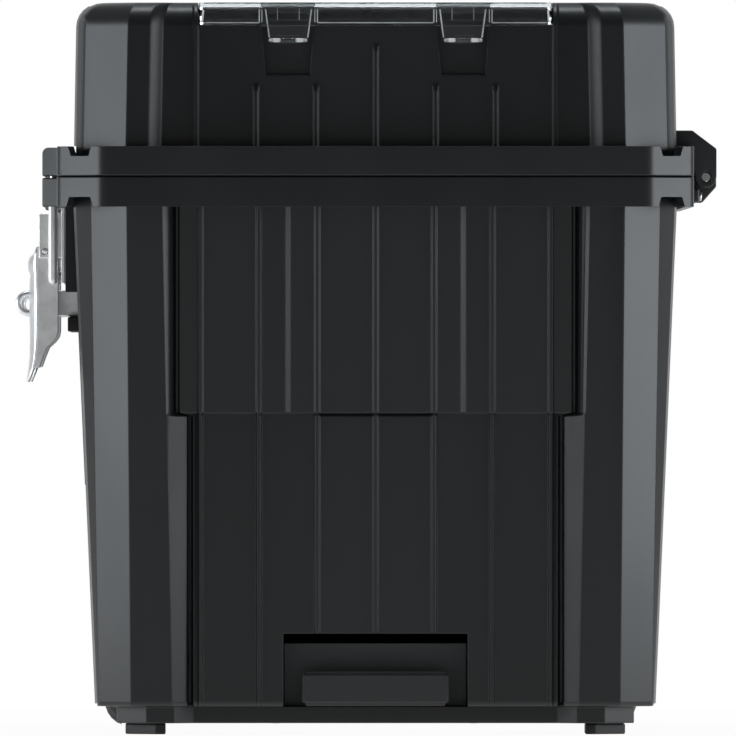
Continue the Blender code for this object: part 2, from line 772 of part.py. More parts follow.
def add_latch_pads(mesh):
    """The flat seats of the latch bases and, lower down, of the padlock eyes."""
    inner = FOOT_HALF_WIDTH - WALL
    eye_face = WALL_HALF_WIDTH - EYE_PAD_STAND
    top = SEAM - RIM_PLATE + OVERLAP
    step = RIM_BOTTOM - LATCH_PAD_DROP
    bottom = RIM_BOTTOM - EYE_PAD_DROP
    outline = [(-inner, bottom), (-eye_face, bottom), (-eye_face, step), (-LATCH_PAD_FACE, step),
               (-LATCH_PAD_FACE, top), (-inner, top)]
    for name, sign in ENDS:
        middle = sign * LATCH_Y
        add_prism(mesh, outline, "y", (middle - LATCH_PAD_HALF, middle + LATCH_PAD_HALF))


def add_gussets(mesh):
    """The small blocks under the padlock eyes."""
    eye_face = WALL_HALF_WIDTH - EYE_PAD_STAND
    top = EYE_Z - EYE_RADIUS - FIT
    for name, sign in ENDS:
        middle = sign * LATCH_Y
        add_box(mesh, (-eye_face - GUSSET_STAND, -eye_face + OVERLAP),
                (middle - GUSSET_HALF, middle + GUSSET_HALF), (top - GUSSET_HEIGHT, top))


def add_cheeks(mesh, low, high, rounded):
    """The guards beside each latch, on a rim, with a rounded or a plain upper edge."""
    root = RIM_HALF_WIDTH - RIM_LIP / 2
    face = RIM_HALF_WIDTH + CHEEK_STAND
    outline = [(-root, high), (-root, low), (-face, low)]
    if rounded:
        outline += arc((-face + CHEEK_ROUND, high - CHEEK_ROUND), CHEEK_ROUND, 180, 90, BLEND_STEPS)
    else:
        outline.append((-face, high))
    for name, end in ENDS:
        for side in (-1, 1):
            inner = end * LATCH_Y + side * LATCH_PAD_HALF
            add_prism(mesh, outline, "y", sorted((inner, inner + side * CHEEK_WIDTH)))


def add_rim_recesses(mesh):
    """The flats in both rims behind the bails."""
    for name, sign in ENDS:
        middle = sign * LATCH_Y
        half = LATCH_PAD_HALF - FIT
        add_box(mesh, (-RIM_HALF_WIDTH - CHEEK_STAND - PAST, -HOOK_FACE), (middle - half, middle + half),
                (LATCH_BASE_TOP, LIP_TOP + PAST))


def add_notches(mesh, edge, upwards, width):
    """The gaps in a rim's lip on its corner facets, narrower at their rounded ends."""
    across = Vector((1, 1)).normalized()
    along = Vector((-1, 1)).normalized()
    middle = Vector((RIM_HALF_WIDTH - RIM_CHAMFER / 2, RIM_HALF_LENGTH - RIM_CHAMFER / 2))
    end = width / 2 - NOTCH_TAPER
    levels = [(-PAST, width / 2), (0.0, width / 2)]
    levels += [(depth, side) for side, depth in
               arc((end - NOTCH_ROUND, NOTCH_DEPTH - NOTCH_ROUND), NOTCH_ROUND, 0, 90, BLEND_STEPS)]
    for sign_x in (-1, 1):
        for sign_y in (-1, 1):
            rings = []
            for depth, half in levels:
                ring = []
                for reach, side in ((PAST, -1), (PAST, 1), (-RIM_LIP - OVERLAP, 1), (-RIM_LIP - OVERLAP, -1)):
                    point = middle + across * reach + along * side * half
                    ring.append((sign_x * point.x, sign_y * point.y, edge + upwards * depth))
                rings.append(ring)
            add_loft(mesh, rings)


def build_body(finish):
    mesh = bmesh.new()
    add_body_walls(mesh)
    body = place_piece("body_shell", mesh, finish)
    join(body, make_tool("plinth", add_plinth))
    join(body, make_tool("body_rim", add_body_rim))
    join(body, make_tool("latch_pads", add_latch_pads))
    join(body, make_tool("gussets", add_gussets))
    join(body, make_tool("body_cheeks", add_cheeks, RIM_BOTTOM + FIT, SEAM - FIT, False))
    cut(body, RIM_RECESSES)
    cut(body, make_tool("body_notches", add_notches, RIM_BOTTOM, 1, BODY_NOTCH_WIDTH))
    cavity = make_tool("body_cavity", add_body_cavity)
    cut(cavity, make_tool("tunnel_hump", add_tunnel, WALL))
    cut(cavity, make_tool("well_humps", add_wells, WALL))
    cut(cavity, make_tool("axle_bosses", add_axle_bosses))
    cut(body, cavity)
    cut(body, make_tool("tunnel", add_tunnel, 0.0))
    cut(body, make_tool("tunnel_mouth", add_tunnel_mouth))
    cut(body, make_tool("cover_ledge", add_cover_ledge))
    cut(body, make_tool("pockets", add_pockets))
    cut(body, make_tool("wells", add_wells, 0.0))
    cut(body, make_tool("axle_bores", add_axle_bores))
    cut(body, make_tool("body_fastener_holes", add_body_fastener_holes))
    cut(body, make_tool("eye_slots", add_eye_slots))
    return body


def build_feet(finish):
    half_width = FOOT_HALF_WIDTH - PLINTH_SIDE_INSET - FOOT_SIDE_INSET
    front = -(FOOT_HALF_LENGTH - PLINTH_END_INSET - FOOT_SIDE_INSET)
    inner = half_width - FOOT_WIDTH
    outline = [(inner, front), (half_width - FOOT_FACET, front), (half_width, front + FOOT_FACET),
               (half_width, front + FOOT_LENGTH), (inner, front + FOOT_LENGTH)]
    for name, sign in SIDES:
        mesh = bmesh.new()
        add_prism(mesh, [(sign * x, y) for x, y in outline], "z", (0.0, FOOT_HEIGHT))
        place_piece("foot_" + name, mesh, finish)


# Lid shell
def lid_sizes(height, inset=0.0):
    """Half width, half length and corner of the lid at a level."""
    share = (height - LID_BOTTOM) / LID_HEIGHT
    half_width = WALL_HALF_WIDTH - LID_DRAFT * share - inset
    half_length = WALL_HALF_LENGTH - LID_DRAFT * share - inset
    facet_start = LID_FACET_START - inset * (2 - math.sqrt(2))
    return half_width, half_length, corner(half_width, facet_start, LID_FACET_END)


def lid_end_half(edge, facets, rib_heights):
    """Half of the lid's end wall: ribs, panel, chamfer, pillar and corner."""
    half = []
    for number in range(RIBS_PER_HALF + 1):
        points = rib(number * LID_RIB_PITCH, LID_PANEL_INSET, rib_heights[number])
        half += points[2:] if number == 0 else points
    half += chamfer(edge - LID_CHAMFER, LID_PANEL_INSET, edge, LID_CHAMFER_BULGE)
    return half + facets


def lid_ring(height, middle_rib, short_ribs, inset=0.0):
    half_width, half_length, facets = lid_sizes(height, inset)
    heights = [middle_rib] + [short_ribs] * (RIBS_PER_HALF - 1) + [RIB_HEIGHT]
    end = lid_end_half(facets[0][0] - LID_PILLAR, facets, heights)
    side = side_half(LID_SIDE_INSET, False)
    outline = case_outline(half_width, half_length, end, side, side)
    return [(x, y, height) for x, y in outline]


def add_lid_walls(mesh):
    short = LID_TOP - LID_RIB_DROP
    middle = LID_TOP - LID_MIDDLE_RIB_DROP
    shoulder = LID_TOP - TOP_ROUND
    rings = [
        lid_ring(LID_BOTTOM + SEAM_GAP, RIB_HEIGHT, RIB_HEIGHT),
        lid_ring(short - RIB_RUNOUT, RIB_HEIGHT, RIB_HEIGHT),
        lid_ring(short, RIB_HEIGHT, 0.0),
        lid_ring(middle - RIB_RUNOUT, RIB_HEIGHT, 0.0),
        lid_ring(middle, 0.0, 0.0),
        lid_ring(shoulder, 0.0, 0.0),
    ]
    for step in range(1, TOP_STEPS + 1):
        turn = math.radians(90 * step / TOP_STEPS)
        inset = TOP_ROUND * (1 - math.cos(turn))
        rings.append(lid_ring(shoulder + TOP_ROUND * math.sin(turn), 0.0, 0.0, inset))
    add_loft(mesh, rings)


def add_lid_rim(mesh):
    add_rim(mesh, ((0.0, LID_BOTTOM), (0.0, LIP_TOP), (RIM_LIP, LIP_TOP), (RIM_LIP, LID_BOTTOM + RIM_PLATE),
                   (RIM_SEAT, LID_BOTTOM + RIM_PLATE), (RIM_SEAT, LID_BOTTOM)))


def add_lid_cavity(mesh):
    roof = LID_TOP - TOP_PANEL_DEPTH - WALL
    rings = []
    for height, inset in ((LID_BOTTOM - PAST, 0.0), (LID_TOP - TOP_ROUND, 0.0), (roof, TOP_ROUND / 2)):
        half_width, half_length, facets = lid_sizes(height, inset)
        edge = facets[0][0] - LID_PILLAR
        outline = cavity_outline(half_width, half_length, edge - LID_CHAMFER, LID_PANEL_INSET, edge, facets)
        rings.append([(x, y, height) for x, y in outline])
    add_loft(mesh, rings)


def cover_half():
    """Half width of an organiser cover, between the lid's two outer ribs."""
    return RIBS_PER_HALF * LID_RIB_PITCH - RIB_CREST - COVER_CLEARANCE


def cover_seat():
    """Level of the lid's face under an organiser cover."""
    return LID_TOP - COVER_HEIGHT - FIT


def cover_end():
    """Distance from the case's middle to the inner end of an organiser cover."""
    return LID_PANEL_FACE + FIT + COVER_THICKNESS - COVER_LENGTH


def seat_end():
    """Distance from the case's middle to the step behind a cover, clear of its swinging edge."""
    swing = math.hypot(COVER_PIN_SETBACK, COVER_HEIGHT / 2) - COVER_PIN_SETBACK
    return cover_end() - swing - COVER_CLEARANCE


def end_limits(near_limit, far_limit, sign):
    """Limits along the case for the near end, or mirrored for the far end."""
    return sorted((sign * near_limit, sign * far_limit))


def add_cover_seats(mesh):
    """The lowered steps in the lid's top for the organiser covers."""
    half = cover_half() + FIT
    for name, sign in ENDS:
        limits = end_limits(seat_end(), RIM_HALF_LENGTH + PAST, sign)
        add_box(mesh, (-half, half), limits, (cover_seat(), LID_TOP + PAST))


def add_bins(mesh, wall):
    """The organiser bins, or with a wall the boxes that hold them inside the lid."""
    half = cover_half() - BIN_RIM + wall
    low = cover_seat() - BIN_DEPTH - wall
    end = LID_PANEL_FACE - OVERLAP if wall else bin_end()
    for name, sign in ENDS:
        limits = end_limits(cover_end() + BIN_RIM - wall, end, sign)
        add_box(mesh, (-half, half), limits, (low, LID_TOP + PAST))


def bin_end():
    """Distance from the case's middle to the outer wall of a bin, behind the clip pockets."""
    return LID_PANEL_FACE - CLIP_POCKET_DEPTH - WALL


def add_seat_slabs(mesh):
    """The lid's skin under and round the organiser covers."""
    half = cover_half() + FIT + WALL
    for name, sign in ENDS:
        limits = end_limits(seat_end() - WALL, RIM_HALF_LENGTH, sign)
        add_box(mesh, (-half, half), limits, (cover_seat() - WALL, LID_TOP + PAST * 2))


def clip_outline(middle, margin, drop):
    """A clip tongue's tapered outline, seen from the end of the case."""
    top = cover_seat() + OVERLAP
    bottom = cover_seat() - drop
    taper = (CLIP_TOP_WIDTH - CLIP_BOTTOM_WIDTH) / CLIP_DROP * drop if margin == 0 else \
        CLIP_TOP_WIDTH - CLIP_BOTTOM_WIDTH
    top_half = CLIP_TOP_WIDTH / 2 + margin
    bottom_half = top_half - taper / 2
    return [(middle - bottom_half, bottom), (middle + bottom_half, bottom), (middle + top_half, top),
            (middle - top_half, top)]


def add_clip_pockets(mesh):
    for name, sign in ENDS:
        limits = end_limits(LID_PANEL_FACE - CLIP_POCKET_DEPTH, RIM_HALF_LENGTH, sign)
        for side in (-1, 1):
            outline = clip_outline(side * CLIP_SPREAD, CLIP_POCKET_MARGIN, CLIP_POCKET_DROP)
            add_prism(mesh, outline, "y", limits)


def add_clip_catches(mesh):
    """The small ribs that the clip tongues snap over."""
    root = LID_PANEL_FACE - CLIP_POCKET_DEPTH
    low = cover_seat() - CLIP_DROP
    for name, sign in ENDS:
        limits = end_limits(root - OVERLAP, root + CLIP_CATCH_RISE, sign)
        for side in (-1, 1):
            middle = side * CLIP_SPREAD
            half = CLIP_CATCH_WIDTH / 2
            add_box(mesh, (middle - half, middle + half), limits, (low, low + CLIP_CATCH_HEIGHT))


def add_cover_pin_sockets(mesh):
    half = cover_half() + COVER_PIN_SOCKET + FIT
    for name, sign in ENDS:
        centre = (0, sign * (cover_end() + COVER_PIN_SETBACK), cover_pin_level())
        add_rod(mesh, centre, "x", (-half, half), COVER_PIN_RADIUS + FIT, SMALL_SIDES)


def cover_pin_level():
    return cover_seat() + COVER_HEIGHT / 2


def add_top_panels(mesh):
    """The shallow panels between the organisers."""
    half = LID_PANEL_HALF
    end = seat_end() - TOP_PANEL_MARGIN
    width = (2 * half - TOP_PANEL_GAP * (TOP_PANEL_COUNT - 1)) / TOP_PANEL_COUNT
    for number in range(TOP_PANEL_COUNT):
        low = -half + number * (width + TOP_PANEL_GAP)
        add_box(mesh, (low, low + width), (-end, end), (LID_TOP - TOP_PANEL_DEPTH, LID_TOP + PAST))


def add_seal_groove(mesh, gap):
    """The groove of the seal, or with no gap the seal itself."""
    low = LID_BOTTOM - PAST if gap else LID_BOTTOM + FIT / 3
    high = LID_BOTTOM + SEAL_DEPTH + gap
    outer = SEAL_OFFSET - gap
    inner = SEAL_OFFSET + SEAL_WIDTH + gap
    add_rim(mesh, ((outer, low), (outer, high), (inner, high), (inner, low)))


def add_hooks(mesh):
    """The catch hooks on the lid's rim, one for each bail."""
    root = HOOK_FACE - OVERLAP
    lip_in = -BAIL_X + BAIL_RADIUS + HOOK_ROOM
    lip_out = lip_in + HOOK_LIP_THICKNESS
    outline = [(-root, HOOK_TOP - HOOK_THICKNESS), (-root, HOOK_TOP), (-lip_in, HOOK_TOP),
               (-lip_in, HOOK_TOP + HOOK_LIP), (-lip_out, HOOK_TOP + HOOK_LIP),
               (-lip_out, HOOK_TOP - HOOK_THICKNESS)]
    for name, sign in ENDS:
        middle = sign * LATCH_Y
        add_prism(mesh, outline, "y", (middle - HOOK_HALF, middle + HOOK_HALF))


def build_lid(finish, seal_finish):
    mesh = bmesh.new()
    add_lid_walls(mesh)
    lid = place_piece("lid_shell", mesh, finish, (HINGE_X, 0, HINGE_Z))
    join(lid, make_tool("lid_rim", add_lid_rim))
    join(lid, make_tool("lid_cheeks", add_cheeks, LID_BOTTOM + FIT, LIP_TOP - FIT, True))
    cut(lid, RIM_RECESSES)
    join(lid, make_tool("hooks", add_hooks))
    cut(lid, make_tool("lid_notches", add_notches, LIP_TOP, -1, LID_NOTCH_WIDTH))
    cavity = make_tool("lid_cavity", add_lid_cavity)
    cut(cavity, make_tool("bin_boxes", add_bins, WALL))
    cut(cavity, make_tool("seat_slabs", add_seat_slabs))
    cut(lid, cavity)
    cut(lid, make_tool("cover_seats", add_cover_seats))
    cut(lid, make_tool("bins", add_bins, 0.0))
    cut(lid, make_tool("clip_pockets", add_clip_pockets))
    join(lid, make_tool("clip_catches", add_clip_catches))
    cut(lid, make_tool("cover_pin_sockets", add_cover_pin_sockets))
    cut(lid, make_tool("top_panels", add_top_panels))
    cut(lid, make_tool("seal_groove", add_seal_groove, FIT))
    cut(lid, make_tool("lid_fastener_holes", add_lid_fastener_holes))
    mesh = bmesh.new()
    add_seal_groove(mesh, 0.0)
    place_piece("lid_seal", mesh, seal_finish, (HINGE_X, 0, HINGE_Z))


# Organiser covers, their pins and the bins' dividers
def build_organizers(clear_finish, pin_finish, divider_finish):
    half = cover_half()
    seat = cover_seat() + FIT
    front = LID_PANEL_FACE + FIT + COVER_THICKNESS
    inner = cover_end()
    pin_y = inner + COVER_PIN_SETBACK
    pin_z = cover_pin_level()
    for name, sign in ENDS:
        hinge = (0, sign * pin_y, pin_z)
        mesh = bmesh.new()
        add_box(mesh, (-half, half), end_limits(inner, front, sign), (seat, LID_TOP))
        cover = place_piece("organizer_cover_" + name, mesh, clear_finish, hinge)
        mesh = bmesh.new()
        hollow = half - COVER_THICKNESS
        add_box(mesh, (-hollow, hollow), end_limits(inner - PAST, front - COVER_THICKNESS, sign),
                (seat - PAST, LID_TOP - COVER_THICKNESS))
        cut(cover, place_piece("cover_hollow_" + name, mesh))
        mesh = bmesh.new()
        corner_cut = [(inner - OVERLAP, seat - OVERLAP), (inner + COVER_CORNER + OVERLAP, seat - OVERLAP),
                      (inner - OVERLAP, seat + COVER_CORNER + OVERLAP)]
        add_prism(mesh, [(sign * y, z) for y, z in corner_cut], "x", (-half - PAST, half + PAST))
        cut(cover, place_piece("cover_corner_" + name, mesh))
        mesh = bmesh.new()
        for side in (-1, 1):
            add_prism(mesh, clip_outline(side * CLIP_SPREAD, 0.0, CLIP_DROP), "y",
                      end_limits(front - COVER_THICKNESS + FIT, front - FIT, sign))
        join(cover, place_piece("clips_" + name, mesh))
        mesh = bmesh.new()
        add_rod(mesh, hinge, "x", (-half - PAST, half + PAST), COVER_PIN_RADIUS + FIT, SMALL_SIDES)
        cut(cover, place_piece("cover_bore_" + name, mesh))
        mesh = bmesh.new()
        reach = half + COVER_PIN_SOCKET
        add_rod(mesh, hinge, "x", (-reach, reach), COVER_PIN_RADIUS, SMALL_SIDES)
        place_piece("cover_pin_" + name, mesh, pin_finish, hinge, smooth=40)
        build_divider("organizer_divider_" + name, sign, divider_finish)


def build_divider(name, sign, finish):
    """One long wall and its crossing walls, standing on the bin's floor."""
    half = cover_half() - BIN_RIM - FIT
    low = cover_seat() - BIN_DEPTH + FIT
    start = cover_end() + BIN_RIM + FIT
    end = bin_end() - FIT
    middle = (start + end) / 2
    thickness = DIVIDER_THICKNESS / 2
    mesh = bmesh.new()
    add_box(mesh, (-half, half), end_limits(middle - thickness, middle + thickness, sign),
            (low, low + DIVIDER_HEIGHT))
    divider = place_piece(name, mesh, finish)
    mesh = bmesh.new()
    for row in range(DIVIDER_ROWS):
        x = blend(-half, half, (row + 1) / (DIVIDER_ROWS + 1))
        add_box(mesh, (x - thickness, x + thickness), end_limits(start, end, sign),
                (low + FIT / 3, low + DIVIDER_HEIGHT - FIT))
    join(divider, place_piece(name + "_crossings", mesh))


# Hinges
def ear_outline():
    """A lid knuckle: over the lip, down its outside and round the pin."""
    seat = RIM_HALF_WIDTH + FIT
    over = LIP_TOP + FIT
    top = HINGE_Z + HINGE_RISE
    inner = RIM_HALF_WIDTH - HINGE_TOP_REACH
    outline = [(seat, over), (inner, over), (inner, top), (RIM_HALF_WIDTH, top)]
    outline.append((HINGE_X + KNUCKLE_RADIUS, top - HINGE_TOP_REACH))
    outline += arc((HINGE_X, HINGE_Z), KNUCKLE_RADIUS, 0, -180, 8)
    return outline + [(seat, HINGE_Z + KNUCKLE_RADIUS)]


def ear_web_outline():
    """The lid ear between its knuckles, clear of the body's knuckle."""
    seat = RIM_HALF_WIDTH + FIT
    over = LIP_TOP + FIT
    top = HINGE_Z + HINGE_RISE
    low = HINGE_Z + KNUCKLE_RADIUS + OVERLAP
    inner = RIM_HALF_WIDTH - HINGE_TOP_REACH
    outer = RIM_HALF_WIDTH + HINGE_PLATE
    return [(seat, over), (inner, over), (inner, top), (RIM_HALF_WIDTH, top),
            (outer, top - HINGE_PLATE), (outer, low), (seat, low)]


def bracket_outline():
    """The body's knuckle and the web below it."""
    seat = RIM_HALF_WIDTH + FIT
    low = HINGE_Z - HINGE_DROP
    return [(seat, HINGE_Z), (seat, low), (HINGE_X - HINGE_FOOT_IN, low),
            (HINGE_X + KNUCKLE_RADIUS, HINGE_Z - HINGE_CHAMFER_DROP)] + \
        arc((HINGE_X, HINGE_Z), KNUCKLE_RADIUS, 0, 180, 8)


def hinge_screw_rows():
    """Places of the hinge screws: (y, z) on the body bracket and on the lid ear."""
    body = []
    lid = []
    for name, sign in ENDS:
        middle = sign * HINGE_Y
        for side in (-1, 1):
            body.append((middle + side * (HINGE_MIDDLE_HALF + HINGE_HALF) / 2, bracket_screw_level()))
            lid.append((middle + side * HINGE_MIDDLE_HALF / 2, LIP_TOP - HINGE_PLATE / 2))
    return body, lid


def bracket_plate_top():
    return HINGE_Z - KNUCKLE_RADIUS - OVERLAP


def bracket_screw_level():
    return (bracket_plate_top() + HINGE_Z - HINGE_DROP) / 2


def bracket_plate_face():
    return RIM_HALF_WIDTH + FIT + HINGE_PLATE / 2


def add_body_hinge_holes(mesh):
    start = RIM_HALF_WIDTH - RIM_LIP + FIT
    for y, z in hinge_screw_rows()[0]:
        add_rod(mesh, (0, y, z), "x", (start, RIM_HALF_WIDTH + PAST), SCREW_RADIUS + FIT, SMALL_SIDES)


def add_lid_fastener_holes(mesh):
    start = RIM_HALF_WIDTH - RIM_LIP + FIT
    for y, z in hinge_screw_rows()[1]:
        add_rod(mesh, (0, y, z), "x", (start, RIM_HALF_WIDTH + PAST), SCREW_RADIUS + FIT, SMALL_SIDES)


def add_screw(mesh, start, face, y, z):
    """A domed screw along x: its shank starts inside and its head sits on a face."""
    under = face + FIT
    head = under + SCREW_HEAD_HEIGHT
    profile = [(start, 0.0), (start, SCREW_RADIUS), (under, SCREW_RADIUS), (under, SCREW_HEAD_RADIUS),
               ((under + head) / 2, SCREW_HEAD_RADIUS), (head, SCREW_HEAD_RADIUS / 2), (head, 0.0)]
    add_turned(mesh, profile, (0, y, z), "x", SMALL_SIDES)


def build_hinges(metal_finish, plastic_finish, screw_finish):
    lid_hinge = (HINGE_X, 0, HINGE_Z)
    start = RIM_HALF_WIDTH - RIM_LIP + 2 * FIT
    body_rows, lid_rows = hinge_screw_rows()
    body_holes = make_tool("bracket_holes", add_body_hinge_holes)
    lid_holes = make_tool("ear_holes", add_lid_fastener_holes)
    for name, sign in ENDS:
        middle = sign * HINGE_Y
        mesh = bmesh.new()
        add_rod(mesh, (HINGE_X, 0, HINGE_Z), "y", (middle - HINGE_HALF - PAST, middle + HINGE_HALF + PAST),
                HINGE_PIN_RADIUS + FIT, PIN_SIDES)
        bore = place_piece("hinge_bore_" + name, mesh)
        mesh = bmesh.new()
        half = HINGE_MIDDLE_HALF - FIT
        add_prism(mesh, bracket_outline(), "y", (middle - half, middle + half))
        bracket = place_piece("hinge_bracket_" + name, mesh, plastic_finish, smooth=30)
        mesh = bmesh.new()
        low = HINGE_Z - HINGE_DROP + FIT
        add_box(mesh, (RIM_HALF_WIDTH + FIT, bracket_plate_face()),
                (middle - HINGE_HALF, middle + HINGE_HALF), (low, bracket_plate_top()))
        join(bracket, place_piece("bracket_plate_" + name, mesh))
        cut(bracket, bore)
        cut(bracket, body_holes)
        mesh = bmesh.new()
        add_prism(mesh, ear_web_outline(), "y", (middle - HINGE_HALF + FIT, middle + HINGE_HALF - FIT))
        ear = place_piece("hinge_ear_" + name, mesh, plastic_finish, lid_hinge, smooth=30)
        mesh = bmesh.new()
        for side in (-1, 1):
            limits = sorted((middle + side * HINGE_MIDDLE_HALF, middle + side * HINGE_HALF))
            add_prism(mesh, ear_outline(), "y", limits)
        join(ear, place_piece("knuckles_" + name, mesh))
        cut(ear, bore)
        cut(ear, lid_holes)
        mesh = bmesh.new()
        add_rod(mesh, (HINGE_X, 0, HINGE_Z), "y", (middle - HINGE_HALF, middle + HINGE_HALF),
                HINGE_PIN_RADIUS, PIN_SIDES)
        place_piece("hinge_pin_" + name, mesh, metal_finish, lid_hinge, smooth=40)
    for number, (y, z) in enumerate(body_rows, 1):
        mesh = bmesh.new()
        add_screw(mesh, start, bracket_plate_face(), y, z)
        place_piece("bracket_screw_" + str(number), mesh, screw_finish, smooth=40)
    for number, (y, z) in enumerate(lid_rows, 1):
        mesh = bmesh.new()
        add_screw(mesh, start, RIM_HALF_WIDTH + HINGE_PLATE, y, z)
        place_piece("ear_screw_" + str(number), mesh, screw_finish, lid_hinge, smooth=40)


# Latches
LATCH_BASE_TOP = RIM_BOTTOM - FIT
LATCH_BASE_FACE = LATCH_PAD_FACE + FIT + BASE_THICKNESS
EYE_PAD_FACE = WALL_HALF_WIDTH - EYE_PAD_STAND


def base_rivet_places():
    """Places of the rivets through the latch bases."""
    low = LATCH_BASE_TOP - BASE_HEIGHT + RIVET_HEAD_RADIUS * 2
    high = LATCH_BASE_TOP - RIVET_HEAD_RADIUS * 3
    return [(sign * LATCH_Y, level) for name, sign in ENDS for level in (low, high)]


def add_latch_rivet_holes(mesh):
    for y, z in base_rivet_places():
        add_rod(mesh, (0, y, z), "x", (-LATCH_BASE_FACE - PAST, -LATCH_BASE_FACE + RIVET_LENGTH + FIT),
                RIVET_RADIUS + FIT, SMALL_SIDES)


def add_eye_slots(mesh):
    """The slots that hold the padlock eyes' roots."""
    for name, sign in ENDS:
        y = sign * LATCH_Y
        half = EYE_THICKNESS / 2 + FIT
        add_box(mesh, (-EYE_PAD_FACE - PAST, -EYE_PAD_FACE + EYE_ROOT + FIT), (y - half, y + half),
                (EYE_Z - EYE_RADIUS - FIT, EYE_Z + EYE_RADIUS + FIT))


def cover_screw_places():
    """Places of the tunnel cover's screws."""
    side = RECESS_HALF + COVER_LEDGE / 2
    start = GUIDE_BACK + WALL
    rows = []
    for row in range(COVER_SCREW_ROWS):
        y = blend(start, TUNNEL_END, (row + 0.5) / COVER_SCREW_ROWS)
        rows += [(-side, y), (side, y)]
    return rows


def add_cover_screw_holes(mesh):
    limits = (PLINTH_BOTTOM - PAST, COVER_TOP + RIVET_LENGTH + FIT)
    for x, y in cover_screw_places():
        add_rod(mesh, (x, y, 0), "z", limits, SCREW_RADIUS + FIT, SMALL_SIDES)


def add_body_fastener_holes(mesh):
    add_body_hinge_holes(mesh)
    add_latch_rivet_holes(mesh)
    add_cover_screw_holes(mesh)


def lever_cheek_outline():
    """A side of the lever, deep at the bail's pivot and tapering to the tip."""
    face = LEVER_FACE + LEVER_SHEET
    deep = LEVER_FACE + LEVER_DEPTH
    neck = LEVER_X + LEVER_NOSE
    deep_end = LEVER_Z - LEVER_DEEP_LENGTH
    tip = LEVER_Z - LEVER_LENGTH
    return [(face - LEVER_SHEET / 2, LEVER_Z + LEVER_TOP - FIT), (neck, LEVER_Z + LEVER_TOP - FIT),
            (neck, LEVER_Z - LEVER_NOSE), (deep, BAIL_Z), (deep, deep_end),
            (blend(deep, face, 0.55), deep_end - LEVER_NOSE * 2), (face, tip + LEVER_NOSE),
            (face - LEVER_SHEET / 2, tip + LEVER_NOSE)]


def lever_plate_outline():
    """The lever's outer plate with its flared finger tip."""
    inner = LEVER_FACE + LEVER_SHEET
    top = LEVER_Z + LEVER_TOP
    tip = LEVER_Z - LEVER_LENGTH
    return [(inner, top), (LEVER_FACE, top), (LEVER_FACE, tip), (LEVER_FACE - LEVER_FLARE, tip - LEVER_TIP),
            (inner - LEVER_FLARE, tip - LEVER_TIP), (inner, tip)]


def bail_path(middle):
    """Half the bail's wire: in through the lever, up the leg and over to the rung's middle."""
    bend = BAIL_BEND
    spread = BAIL_SPREAD
    low = BAIL_Z
    half = [(spread - BAIL_END, low)]
    half += arc((spread - bend / 2, low + bend / 2), bend / 2, -90, 0, 3)
    half += arc((spread - bend, RUNG_Z - bend), bend, 0, 90, 5)
    path = [(BAIL_X, middle + y, z) for y, z in half]
    return path + [(BAIL_X, middle - y, z) for y, z in reversed(half)]


